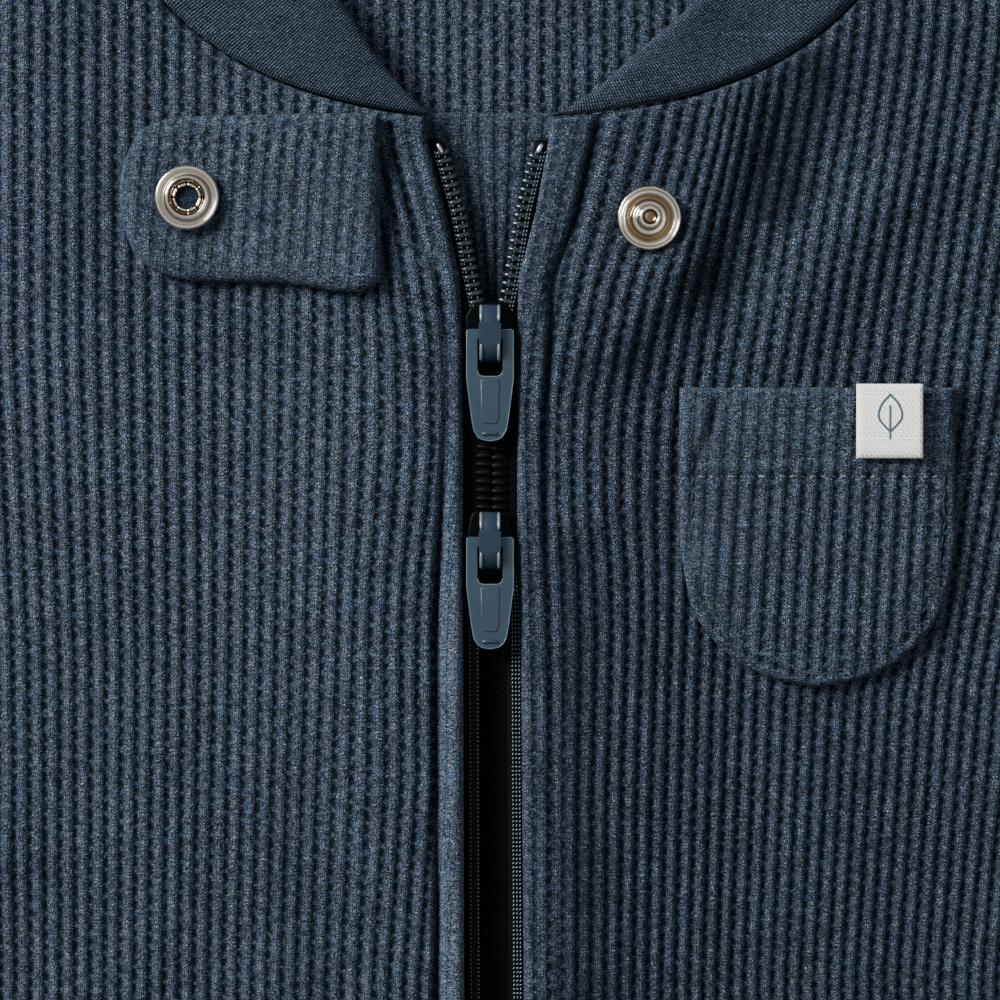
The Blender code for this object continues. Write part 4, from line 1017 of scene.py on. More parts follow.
def tab_outline():
    """Rounded at its free end, square at its root."""
    middle = (TAB_TOP_Y + TAB_LOW_Y) / 2
    high = (TAB_TOP_Y - TAB_LOW_Y) / 2
    end = [(TAB_END_X + 9, TAB_TOP_Y), (TAB_END_X + 3.6, middle + high * 0.86),
           (TAB_END_X + 0.8, middle + high * 0.5), (TAB_END_X, middle + high * 0.1),
           (TAB_END_X + 1.0, middle - high * 0.4), (TAB_END_X + 4.2, middle - high * 0.76),
           (TAB_END_X + 10, TAB_LOW_Y + 0.9), (TAB_END_X + 17, TAB_LOW_Y + 0.6),
           (TAB_END_X + 26, TAB_LOW_Y + 0.2), (TAB_ROOT_X - 6.5, TAB_LOW_Y - 1.1),
           (TAB_ROOT_X - 3, TAB_LOW_Y - 1.2), (TAB_ROOT_X - 0.7, TAB_LOW_Y - 0.2)]
    return joined(
        run((TAB_ROOT_X, TAB_TOP_Y), (TAB_END_X + 9, TAB_TOP_Y), 2), curve(end, 1.5),
        run((TAB_ROOT_X, TAB_LOW_Y + 0.8), (TAB_ROOT_X, TAB_TOP_Y), 2))


def tab_cloth(material):
    """Two layers turned right side out, so the edge is a soft roll and the ribs are pressed."""
    def top(x, y, k, far):
        near_snap = smooth((np.hypot(x - SOCKET_X, y - SOCKET_Y) - 4.7) / 3.0)
        dent = -0.35 * (1 - smooth((np.hypot(x - SOCKET_X, y - SOCKET_Y) - 4.0) / 6.0))
        tack = -0.5 * np.exp(-((x - TACK_X) / 1.7) ** 2 - ((y - TACK_Y) / 0.8) ** 2)
        tack = tack - 0.7 * np.exp(-((x - TACK_X) / 9) ** 2 - ((y - TACK_Y) / 4.5) ** 2)
        share = (0.15 + 0.5 * smooth((far - 1.2) / 5)) * near_snap * smooth(far / 1.0)
        bulge = 0.25 * np.exp(-((far - 2.4) / 1.4) ** 2)
        return (on_front(x, y) + TAB_WALL * rolled(far, 2.0, 0.35) + bulge + dent + tack
                + RIB_RISE * rib_shape(k) * share)

    def press_and_shade(x, y, far):
        # The upper part is pressed less and so painted darker, as shade on cloth turned from the
        # light; the tack is painted dark as the shade in its dent
        edge = 0.35 + 0.4 * (1 - smooth((far - 0.6) / 3.5)) - 0.35 * smooth((y + 9) / 7)
        tack = np.exp(-((x - TACK_X) / 2.6) ** 4 - ((y - TACK_Y) / 0.3) ** 2)
        return edge * (1 - tack) - 0.75 * tack

    ribs = straight_ribs(TAB_PITCH, TAB_ROOT_X, TAB_SLANT)
    return cloth("snap_tab_knit", tab_outline(), on_front, top, ribs, material,
                 zones=(NEAR._replace(step=0.6),), press_and_shade=press_and_shade)


def pocket_outline(back=0.0):
    """The pocket, or its edge moved in by back."""
    low = POCKET_TOP_Y - POCKET_DEEP + back
    left, right = POCKET_X - POCKET_HALF + back, POCKET_X + POCKET_HALF - back
    curve_left = curve([(left, low + 22), (left + 2.2, low + 11.5), (left + 8, low + 4.6),
                        (left + 14, low + 1.5), (POCKET_X, low)], 1.5)
    curve_right = [(2 * POCKET_X - x, y) for x, y in reversed(curve_left)]
    side_left = run((left, POCKET_TOP_Y), (left, low + 22), 1.5)
    side_right = run((right, low + 22), (right, POCKET_TOP_Y), 1.5)
    hem = run((right, POCKET_TOP_Y), (left, POCKET_TOP_Y), 1.5)
    return side_left + curve_left + curve_right + side_right, hem


def pocket_ribs():
    return straight_ribs(POCKET_PITCH, POCKET_X + POCKET_SLANT * 60, POCKET_SLANT)


def pocket_top(x, y, k, far):
    hem = smooth((y - (POCKET_TOP_Y - HEM_DEEP)) / 1.5 + 0.5)
    rows = sum(np.exp(-((y - row) / 0.45) ** 2) for row in HEM_ROWS)
    edge = np.exp(-((far - EDGE_SEAM) / 0.5) ** 2) * (y < POCKET_TOP_Y - 3)
    crease = raised([CORNER_CREASE], x, y)
    share = smooth(far / 1.2) * (0.55 + 0.45 * smooth((far - 3) / 3)) * (1 - 0.45 * hem)
    return (on_front(x, y) + CLOTH * rolled(far, 1.5, 0.4) + HEM_EXTRA * hem * smooth(far / 1.0)
            + RIB_RISE * rib_shape(k) * share - 0.4 * (rows + edge) * smooth(far / 0.8) + crease)


def pocket_cloth(material):
    def press_and_shade(x, y, far):
        beside = 0.12 + 1.0 * (1 - smooth((x - (POCKET_X - POCKET_HALF) - 2) / 12))
        hem = 0.35 * smooth((y - (POCKET_TOP_Y - HEM_DEEP)) / 1.5 + 0.5)
        flat = np.maximum(0.8 * (1 - smooth((far - 0.4) / 1.8)), np.maximum(beside, hem))
        # The corner crease and the stitched edge are painted darker, as the shade in them
        edge = np.exp(-((far - EDGE_SEAM) / 0.4) ** 2) * (y < POCKET_TOP_Y - 15)
        return flat - 0.9 * near_line(CORNER_CREASE, x, y) - 0.6 * edge

    return cloth("pocket_knit", joined(*pocket_outline()), on_front, pocket_top, pocket_ribs(),
                 material, zones=(NEAR._replace(step=0.6),), press_and_shade=press_and_shade)


def label_low(x, y):
    return on_front(x, y) + CLOTH + HEM_EXTRA + RIB_RISE + GAP


def label_cloth(material):
    low = LABEL_TOP_Y - LABEL_HIGH
    outline = oblong(LABEL_LEFT_X, low, LABEL_LEFT_X + LABEL_WIDE, LABEL_TOP_Y, 1)
    zone = NEAR._replace(per_rib=2, step=0.5)

    def top(x, y, k, far):
        lip = 0.3 * np.exp(-((y - low - 2.2) / 0.3) ** 2)
        return label_low(x, y) + LABEL_WALL * rolled(far, 0.2, 0.6) - lip

    return cloth("label_ribbon", outline, label_low, top, straight_ribs(1.0), material,
                 zones=(zone,), press_and_shade=lambda x, y, far: 1 - smooth((y - low - 1.7) / 0.5))


# ---------------------------------------------------------------- hardware

Ring = namedtuple("Ring", "radius height brass")
SOCKET_RINGS = [
    Ring(4.3, 0.0, 0.3), Ring(4.72, 0.1, 0.3), Ring(4.9, 0.32, 0.2), Ring(4.93, 0.6, 0.1),
    Ring(4.84, 0.92, 0.0), Ring(4.66, 1.16, 0.0), Ring(4.46, 1.24, 0.0), Ring(4.3, 1.14, 0.2),
    Ring(4.2, 0.9, 0.5), Ring(4.1, 0.8, 0.6), Ring(3.98, 0.86, 0.3), Ring(3.62, 1.2, 0.05),
    Ring(3.3, 1.5, 0.0), Ring(3.05, 1.66, 0.15), Ring(2.88, 1.7, 0.5), Ring(2.76, 1.6, 0.85),
    Ring(2.6, 1.36, 1.0), Ring(2.42, 1.2, 0.8), Ring(2.3, 1.0, 1.0), Ring(2.26, 0.3, 1.0),
]
STUD_RINGS = [
    Ring(4.3, 0.0, 0.3), Ring(4.7, 0.1, 0.3), Ring(4.87, 0.32, 0.2), Ring(4.9, 0.6, 0.1),
    Ring(4.8, 0.94, 0.0), Ring(4.62, 1.18, 0.0), Ring(4.46, 1.2, 0.1), Ring(4.34, 1.02, 0.6),
    Ring(4.24, 0.94, 0.75), Ring(4.12, 1.04, 0.3), Ring(3.92, 1.12, 0.0), Ring(3.72, 1.0, 0.4),
    Ring(3.4, 0.66, 0.9), Ring(3.0, 0.5, 1.0), Ring(2.74, 0.58, 1.0), Ring(2.58, 0.94, 0.5),
    Ring(2.4, 1.16, 0.0), Ring(2.16, 1.18, 0.3), Ring(1.92, 1.22, 0.6), Ring(1.76, 1.5, 0.6),
    Ring(1.66, 2.1, 0.5), Ring(1.72, 2.5, 0.2), Ring(1.66, 2.8, 0.0), Ring(1.46, 2.97, 0.0),
    Ring(1.25, 2.98, 0.0), Ring(1.1, 2.86, 0.8), Ring(0.98, 2.6, 1.0), Ring(0.8, 2.42, 1.0),
    Ring(0.5, 2.34, 1.0), Ring(0.2, 2.32, 1.0),
]


def circle(x, y, radius, count):
    return [(x + radius * math.cos(a), y + radius * math.sin(a))
            for a in (math.tau * i / count for i in range(count))]


def turned(name, x, y, low, rings, material):
    """A turned form: rings from its foot, over the rim, to the middle."""
    lines = [[(*spot, low + ring.height) for spot in circle(x, y, ring.radius, SNAP_SIDES)]
             for ring in rings]
    item = loft(name, lines, material)
    brass = item.data.attributes.new("brass", "FLOAT", "POINT")
    brass.data.foreach_set("value", np.repeat([ring.brass for ring in rings], SNAP_SIDES))
    return item


def spring_petals(low, material):
    """The socket's spring: a split ring of eight lips round the hole."""
    made = []
    for i in range(SPRING_PARTS):
        start = math.tau * (i + 0.06) / SPRING_PARTS
        rings = []
        for k in range(7):
            a = start + math.tau * 0.88 / SPRING_PARTS * k / 6
            rings.append([(SOCKET_X + r * math.cos(a), SOCKET_Y + r * math.sin(a), low + z)
                          for r, z in ((1.74, 0.72), (2.1, 0.66), (2.2, 0.9), (2.06, 1.14),
                                       (1.86, 1.12), (1.72, 0.95))])
        made.append(loft("petal", rings, material))
    return made


def snaps(nickel, painted_shade_cloth):
    tab_level = float(on_front(SOCKET_X, SOCKET_Y)) + TAB_WALL + GAP + SNAP_SEAT
    front_level = float(lift(STUD_X, STUD_Y)) + CLOTH + GAP + SNAP_SEAT
    socket = turned("socket", SOCKET_X, SOCKET_Y, tab_level, SOCKET_RINGS, nickel)
    # A dark cloth disc inside the socket: painted shade deep in its hole
    rim = circle(SOCKET_X, SOCKET_Y, WELL_RADIUS, 32)
    return [join([socket] + spring_petals(tab_level, nickel), "snap_socket_plate"),
            turned("snap_stud_plate", STUD_X, STUD_Y, front_level, STUD_RINGS, nickel),
            plate("snap_well_painted_shade", rim, tab_level + 0.25, tab_level + 0.35, painted_shade_cloth, bevel=0.02)]


def plate(name, outline, low, high, material, holes=(), bevel=0.2):
    """A flat piece between two levels, with its rims rounded."""
    loops = [outline, *holes]
    points, edges = [], []
    for loop in loops:
        first = len(points)
        points += [tuple(p) for p in loop]
        edges += [(first + i, first + (i + 1) % len(loop)) for i in range(len(loop))]
    made, _, faces, source, _, _ = delaunay_2d_cdt(points, edges, [], 1, 1e-6)
    kept = []
    for face in faces:
        middle = sum((made[i] for i in face), Vector((0, 0))) / len(face)
        if not any(inside(hole, middle) for hole in holes):
            kept.append(list(face))
    count = len(made)
    levels = [(x, y, z) for z in (low, high) for x, y in made]
    item = mesh_object(name, levels, [face[::-1] for face in kept]
                       + [[count + i for i in face] for face in kept]
                       + rim_faces(loops, source, count), material)
    outward(item)
    mesh = bmesh.new()
    mesh.from_mesh(item.data)
    sharp = [edge for edge in mesh.edges if edge.calc_face_angle(0) > 0.9
             and abs(edge.verts[0].co.z - edge.verts[1].co.z) < 1e-7]
    bmesh.ops.bevel(mesh, geom=sharp, offset=bevel * MM, segments=3, profile=0.5,
                    affect="EDGES", clamp_overlap=True)
    mesh.to_mesh(item.data)
    mesh.free()
    item.data.shade_smooth()
    item.data.set_sharp_from_angle(angle=math.radians(45))
    for face in item.data.polygons:
        face.use_smooth = abs(face.normal.z) < 0.9999
    return item


def rim_faces(loops, source, count):
    """Side faces of a plate, along each of its loops."""
    place = {old: new for new, olds in enumerate(source) for old in olds}
    faces, first = [], 0
    for loop in loops:
        for i in range(len(loop)):
            a, b = place[first + i], place[first + (i + 1) % len(loop)]
            faces.append([a, b, count + b, count + a])
        first += len(loop)
    return faces


def tube(name, path, radius, material, sides=12, flat=1.0):
    """A rounded bar along a path, closed at its ends."""
    path = [Vector(p) for p in path]
    rings = []
    for i, here in enumerate(path):
        ahead = path[min(i + 1, len(path) - 1)] - path[max(i - 1, 0)]
        ahead.normalize()
        side = ahead.cross(Vector((0, 0, 1))).normalized()
        up = side.cross(ahead)
        end = min(i, len(path) - 1 - i)
        size = radius * (0.55 if end == 0 else 0.9 if end == 1 else 1.0)
        rings.append([here + size * (math.cos(a) * side + math.sin(a) * up * flat)
                      for a in (math.tau * k / sides for k in range(sides))])
    return loft(name, rings, material)


def slider_outline(bar_y, ahead):
    """Plate of a slider; ahead is +1 where its two mouths face the head."""
    corners = [(0.0, BODY_AHEAD + 0.05), (1.6, BODY_AHEAD - 0.1), (3.0, BODY_AHEAD - 1.0),
               (SHOULDER_HALF, BODY_AHEAD - 2.2), (SHOULDER_HALF, 0.6),
               (TAIL_HALF + 0.2, -BODY_BEHIND + 1.0), (TAIL_HALF - 0.3, -BODY_BEHIND)]
    both = corners + [(-x, y) for x, y in corners[:0:-1]]
    return joined([(SLIDER_X + x, bar_y + ahead * y) for x, y in both])


def slider(name, bar_y, ahead, black, navy, painted_highlight):
    """Two plates with a wedge between, and the crown with its rails over the pull's bar."""
    top = UPPER_PLATE + PLATE
    outline = slider_outline(bar_y, ahead)
    wedge = sorted((bar_y + ahead * (BODY_AHEAD - 0.2), bar_y + ahead * (BODY_AHEAD - 1.9)))
    body = [
        plate("over", outline, UPPER_PLATE, top, black),
        plate("under", outline, PLATE_LOW, PLATE_LOW + PLATE, black),
        plate("wedge", oblong(SLIDER_X - 0.45, wedge[0], SLIDER_X + 0.45, wedge[1], 1),
              PLATE_LOW + 0.2, top - 0.2, black, bevel=0.1),
    ]
    low, high = bar_y - BODY_BEHIND + 0.15, bar_y + BODY_AHEAD - 0.2
    arch = curve([(low + 0.5, top - 0.25), (low + 0.75, top + 1.2), (low + 2.2, CROWN_ROOF + 0.32),
                  (bar_y, CROWN_ROOF + 0.42), (high - 2.3, CROWN_ROOF + 0.3),
                  (high - 0.75, top + 1.1), (high - 0.5, top - 0.25)], 0.35)
    crown = [strap("strap", arch, CROWN_HALF, 0.42, navy)]
    block = oblong(SLIDER_X - CROWN_HALF - 0.12, bar_y - 1.6, SLIDER_X + CROWN_HALF + 0.12,
                   bar_y + 1.6, 1)
    crown.append(plate("block", block, CROWN_ROOF + 0.2, CROWN_ROOF + 0.66, navy, bevel=0.05))
    # The rails are coloured far lighter than the crown: painted highlights on their rounded tops
    rails = []
    for side in (RIGHT, LEFT):
        for inner, outer in ((low + 0.3, bar_y - 1.5), (bar_y + 1.5, high - 0.3)):
            path = [(SLIDER_X + side * (CROWN_HALF - 0.22), y, z + 0.24)
                    for y, z in arch if inner < y < outer]
            rails.append(tube("rail", path, 0.25, painted_highlight, flat=0.9))
    return join(body, name + "_body"), join(crown, name + "_crown"), join(rails, name + "_rails")


def strap(name, arch, half, thick, material):
    """A flat band bent along the arch, with soft edges."""
    section = [(-half, -0.5), (-half, 0.2), (-half + 0.25, 0.5), (half - 0.25, 0.5),
               (half, 0.2), (half, -0.5), (half - 0.2, -0.8), (-half + 0.2, -0.8)]
    rings = []
    for i, (y, z) in enumerate(arch):
        before, after = arch[max(i - 1, 0)], arch[min(i + 1, len(arch) - 1)]
        along_y, along_z = after[0] - before[0], after[1] - before[1]
        size = math.hypot(along_y, along_z)
        out_y, out_z = -along_z / size, along_y / size
        rings.append([(SLIDER_X + x, y + out_y * t * thick, z + out_z * t * thick)
                      for x, t in section])
    return loft(name, rings, material)


def pull(name, bar_y, enamel, edge_painted_highlight):
    """Pull tab with a window for the crown, a raised panel and a lip at its tip."""
    end = -PULL_LONG
    half = [(0.0, PULL_TOP), (PULL_HALF - 0.45, PULL_TOP), (PULL_HALF - 0.12, PULL_TOP - 0.12),
            (PULL_HALF, PULL_TOP - 0.45), (PULL_HALF, -3.5), (PULL_HALF, -6.8)]
    taper = curve([(PULL_HALF, -6.8), (PULL_END_HALF + 0.55, end + 2.9),
                   (PULL_END_HALF + 0.1, end + 1.3), (PULL_END_HALF - 0.7, end + 0.35),
                   (0.0, end)], 0.5)
    right_half = half + taper
    loop = joined([(SLIDER_X + x, bar_y + y) for x, y in right_half],
                  [(SLIDER_X - x, bar_y + y) for x, y in reversed(right_half)])
    top, low = -WINDOW_TOP, -WINDOW_END
    corner = [(WINDOW_HALF, low + 0.9), (WINDOW_HALF - 0.12, low + 0.4),
              (WINDOW_HALF - 0.45, low + 0.1), (WINDOW_HALF - 0.9, low)]
    window = ([(WINDOW_HALF, top)] + corner + [(-x, y) for x, y in reversed(corner)]
              + [(-WINDOW_HALF, top)])
    hole = joined([(SLIDER_X + x, bar_y + y) for x, y in window])
    body = plate("tab", loop, PULL_LOW, PULL_LOW + PULL_WALL, enamel, [hole])
    panel_top = PULL_LOW + PULL_WALL
    shape = [(-1.42, low - 0.5), (1.42, low - 0.5), (1.3, end + 3.4), (0.95, end + 2.7),
             (-0.95, end + 2.7), (-1.3, end + 3.4)]
    frame = joined([(SLIDER_X + x, bar_y + y) for x, y in shape])
    panel = plate("panel", frame, panel_top - 0.2, panel_top + 0.14, enamel, bevel=0.1)
    lip = tube("lip", [(SLIDER_X + x, bar_y + end + 1.25 - 0.1 * x * x, panel_top + 0.02)
                       for x in (-1.2, -1.0, -0.5, 0.0, 0.5, 1.0, 1.2)], 0.32, enamel, 8)
    # Thin light tubes round the pull's edge and under its window: painted highlights
    ring = [(x, y, panel_top - 0.05) for x, y in inset(loop, 0.1)]
    rim = [(x, y, panel_top - 0.05) for x, y in hole if y < bar_y + low + 1.2]
    edges = [tube("edge", path, 0.07, edge_painted_highlight, 6) for path in (ring + ring[:1], rim)]
    return join([body, panel, lip], name), join(edges, name + "_edge")


# ---------------------------------------------------------------- stitches and coils

def sewing_tree(name, bent):
    """Repeats a small thread form along the piece's edges: a bent loop or a plain bead.

    Spacing is along the line, Size is that of each form, Turn is about its upright axis, and
    Uneven is the random part of the turn.
    """
    tree, given = group_tree(
        name, [("Line", "Geometry"), ("Spacing", "Float"), ("Size", "Vector"), ("Turn", "Float"),
               ("Uneven", "Float"), ("Seed", "Int"), ("Finish", "Material")],
        [("Thread", "Geometry")], "GeometryNodeTree")
    line = put(tree, "GeometryNodeMeshToCurve", {"Mesh": given["Line"]})
    spots = put(tree, "GeometryNodeCurveToPoints",
                {"Curve": line.outputs["Curve"], "Length": given["Spacing"]}, mode="LENGTH")
    form, tilt = bent_loop(tree) if bent else bead(tree)
    upright = put(tree, "GeometryNodeTransform",
                  {"Geometry": form.outputs["Mesh"], "Rotation": tilt})
    sized = put(tree, "GeometryNodeTransform",
                {"Geometry": upright.outputs["Geometry"], "Scale": given["Size"]})
    wild = put(tree, "FunctionNodeRandomValue", {2: -1.0, 3: 1.0, "Seed": given["Seed"]},
               data_type="FLOAT")
    sway = maths(tree, "MULTIPLY", wild.outputs[1], given["Uneven"])
    spin = put(tree, "ShaderNodeCombineXYZ", {"Z": maths(tree, "ADD", sway, given["Turn"])})
    along_line = put(tree, "FunctionNodeAlignRotationToVector",
                     {"Vector": spots.outputs["Tangent"]}, axis="X", pivot_axis="AUTO")
    turned_to = put(tree, "FunctionNodeRotateRotation",
                    {"Rotation": along_line.outputs["Rotation"], "Rotate By": spin.outputs[0]},
                    rotation_space="LOCAL")
    placed = put(tree, "GeometryNodeInstanceOnPoints",
                 {"Points": spots.outputs["Points"], "Instance": sized.outputs["Geometry"],
                  "Rotation": turned_to.outputs["Rotation"]})
    real = put(tree, "GeometryNodeRealizeInstances", {"Geometry": placed.outputs["Instances"]})
    soft = put(tree, "GeometryNodeSetShadeSmooth", {"Geometry": real.outputs["Geometry"]})
    done = put(tree, "GeometryNodeSetMaterial",
               {"Geometry": soft.outputs["Geometry"], "Material": given["Finish"]})
    put(tree, "NodeGroupOutput", {"Thread": done.outputs["Geometry"]})
    return tree


def bent_loop(tree):
    """Half a ring of round thread, and how it is tilted to stand across the line."""
    arc = put(tree, "GeometryNodeCurveArc",
              {"Resolution": 6, "Radius": 0.5, "Start Angle": 0.0, "Sweep Angle": math.pi},
              mode="RADIUS")
    ring = put(tree, "GeometryNodeCurvePrimitiveCircle", {"Resolution": 7, "Radius": 0.19},
               mode="RADIUS")
    form = put(tree, "GeometryNodeCurveToMesh",
               {"Curve": arc.outputs["Curve"], "Profile Curve": ring.outputs["Curve"],
                "Fill Caps": True})
    return form, (math.pi / 2, 0, 0)


def bead(tree):
    """A round bead, and how it is tilted to lie along the line."""
    form = put(tree, "GeometryNodeMeshUVSphere", {"Segments": 6, "Rings": 5, "Radius": 0.5})
    return form, (0, math.pi / 2, 0)


def put(tree, kind, values=None, **settings):
    """A node with its settings; a value is a plain one or another node's output."""
    item = tree.nodes.new(kind)
    for name, setting in settings.items():
        setattr(item, name, setting)
    for socket, value in (values or {}).items():
        if isinstance(value, bpy.types.NodeSocket):
            tree.links.new(value, item.inputs[socket])
        else:
            item.inputs[socket].default_value = value
    return item


def sewn(name, tree, lines, material, stitch):
    """Thread forms along lines of points, made one plain mesh."""
    points, edges = [], []
    for line in lines:
        first = len(points)
        points += [(x * MM, (y - MIDDLE_Y) * MM, z * MM) for x, y, z in line]
        edges += [(first + i, first + i + 1) for i in range(len(line) - 1)]
    mesh = bpy.data.meshes.new(name + "_line")
    mesh.from_pydata(points, edges, [])
    item = stood(name + "_line", mesh)
    modifier = item.modifiers.new("sewing", "NODES")
    modifier.node_group = tree
    values = {"Spacing": stitch.pitch * MM, "Size": tuple(s * MM for s in stitch.size),
              "Turn": stitch.turn, "Uneven": stitch.uneven, "Seed": stitch.seed,
              "Finish": material}
    for socket in tree.interface.items_tree:
        if socket.in_out == "INPUT" and socket.name in values:
            modifier[socket.identifier] = values[socket.name]
    bpy.context.view_layer.update()
    ready = item.evaluated_get(bpy.context.evaluated_depsgraph_get())
    plain = bpy.data.meshes.new_from_object(ready)
    plain.name = name
    bpy.data.objects.remove(item, do_unlink=True)
    return stood(name, plain)


# ---------------------------------------------------------------- finishes

def group_tree(name, inputs, outputs, kind="ShaderNodeTree"):
    """An empty node group with its sockets; gives the tree and its given values."""
    tree = bpy.data.node_groups.new(name, kind)
    for way, sockets in (("INPUT", inputs), ("OUTPUT", outputs)):
        for socket, value in sockets:
            tree.interface.new_socket(socket, in_out=way, socket_type="NodeSocket" + value)
    return tree, tree.nodes.new("NodeGroupInput").outputs


def maths(tree, operation, a, b=0.0, c=0.0):
    return put(tree, "ShaderNodeMath", {0: a, 1: b, 2: c}, operation=operation).outputs[0]


def ramped(tree, value, low, high):
    """0 below low, 1 above high, smooth between."""
    return put(tree, "ShaderNodeMapRange",
               {"Value": value, "From Min": low, "From Max": high},
               interpolation_type="SMOOTHSTEP").outputs["Result"]


def wave(tree, value):
    """0 to 1 and back once in each unit."""
    turn = maths(tree, "COSINE", maths(tree, "MULTIPLY", value, 2 * math.pi))
    return maths(tree, "MULTIPLY_ADD", turn, 0.5, 0.5)


def speckle(tree, place, scale, detail=2.0, rough=0.6):
    return put(tree, "ShaderNodeTexNoise",
               {"Vector": place, "Scale": scale, "Detail": detail, "Roughness": rough},
               noise_dimensions="3D").outputs["Fac"]


def blended(tree, share, first, second):
    """A colour between two; a plain one is given as red, green and blue."""
    ends = [end if isinstance(end, bpy.types.NodeSocket) else (*end, 1.0)
            for end in (first, second)]
    return put(tree, "ShaderNodeMix", {0: share, 6: ends[0], 7: ends[1]},
               data_type="RGBA").outputs[2]


def between(tree, share, first, second):
    """A number between two."""
    return put(tree, "ShaderNodeMix", {0: share, 2: first, 3: second}).outputs[0]


def centred(tree, value):
    """A share moved down by a half, so that it varies round nothing."""
    return maths(tree, "SUBTRACT", value, 0.5)


def rest_of(tree, share):
    return maths(tree, "SUBTRACT", 1.0, share)


def heather_group():
    """Yarn spun from fibres of several shades, with loose fibre ends on its surface.

    Here and there a paler length of it runs along a course, across the ribs. Shade is a
    brightness round 1, Pale marks the undyed fibres and Fluff is their height.
    """
    tree, given = group_tree("heather_yarn", [("Place", "Vector"), ("Contrast", "Float")],
                             [("Shade", "Float"), ("Pale", "Float"), ("Fluff", "Float")])
    fine = speckle(tree, given["Place"], 3400.0, 3.0, 0.8)
    broad = speckle(tree, given["Place"], 120.0, 4.0, 0.7)
    fibres = 0.0
    for angle, place in ((0.5, 0.0), (1.7, 0.3), (2.75, 0.7)):
        turned_map = put(tree, "ShaderNodeMapping",
                         {"Vector": given["Place"], "Location": (place, place, 0.0),
                          "Rotation": (0.0, 0.0, angle), "Scale": (1300.0, 6400.0, 2600.0)})
        hair = speckle(tree, turned_map.outputs["Vector"], 1.0, 1.5)
        fibres = maths(tree, "MAXIMUM", ramped(tree, hair, 0.585, 0.67), fibres)
    total = maths(tree, "ADD", maths(tree, "MULTIPLY", centred(tree, fine), 12.5),
                  maths(tree, "MULTIPLY", centred(tree, broad), 2.0))
    shade = maths(tree, "MULTIPLY_ADD", total, given["Contrast"], 1.0)
    courses = put(tree, "ShaderNodeMapping",
                  {"Vector": given["Place"], "Scale": (32.0, 1700.0, 1.0)})
    paler = ramped(tree, speckle(tree, courses.outputs["Vector"], 1.0, 1.0), 0.62, 0.72)
    shade = maths(tree, "MULTIPLY", shade, maths(tree, "MULTIPLY_ADD", paler, 0.7, 1.0))
    put(tree, "NodeGroupOutput", {"Shade": maths(tree, "MAXIMUM", shade, 0.1), "Pale": fibres,
                                  "Fluff": maths(tree, "MULTIPLY_ADD", fibres, 0.6, fine)})
    return tree


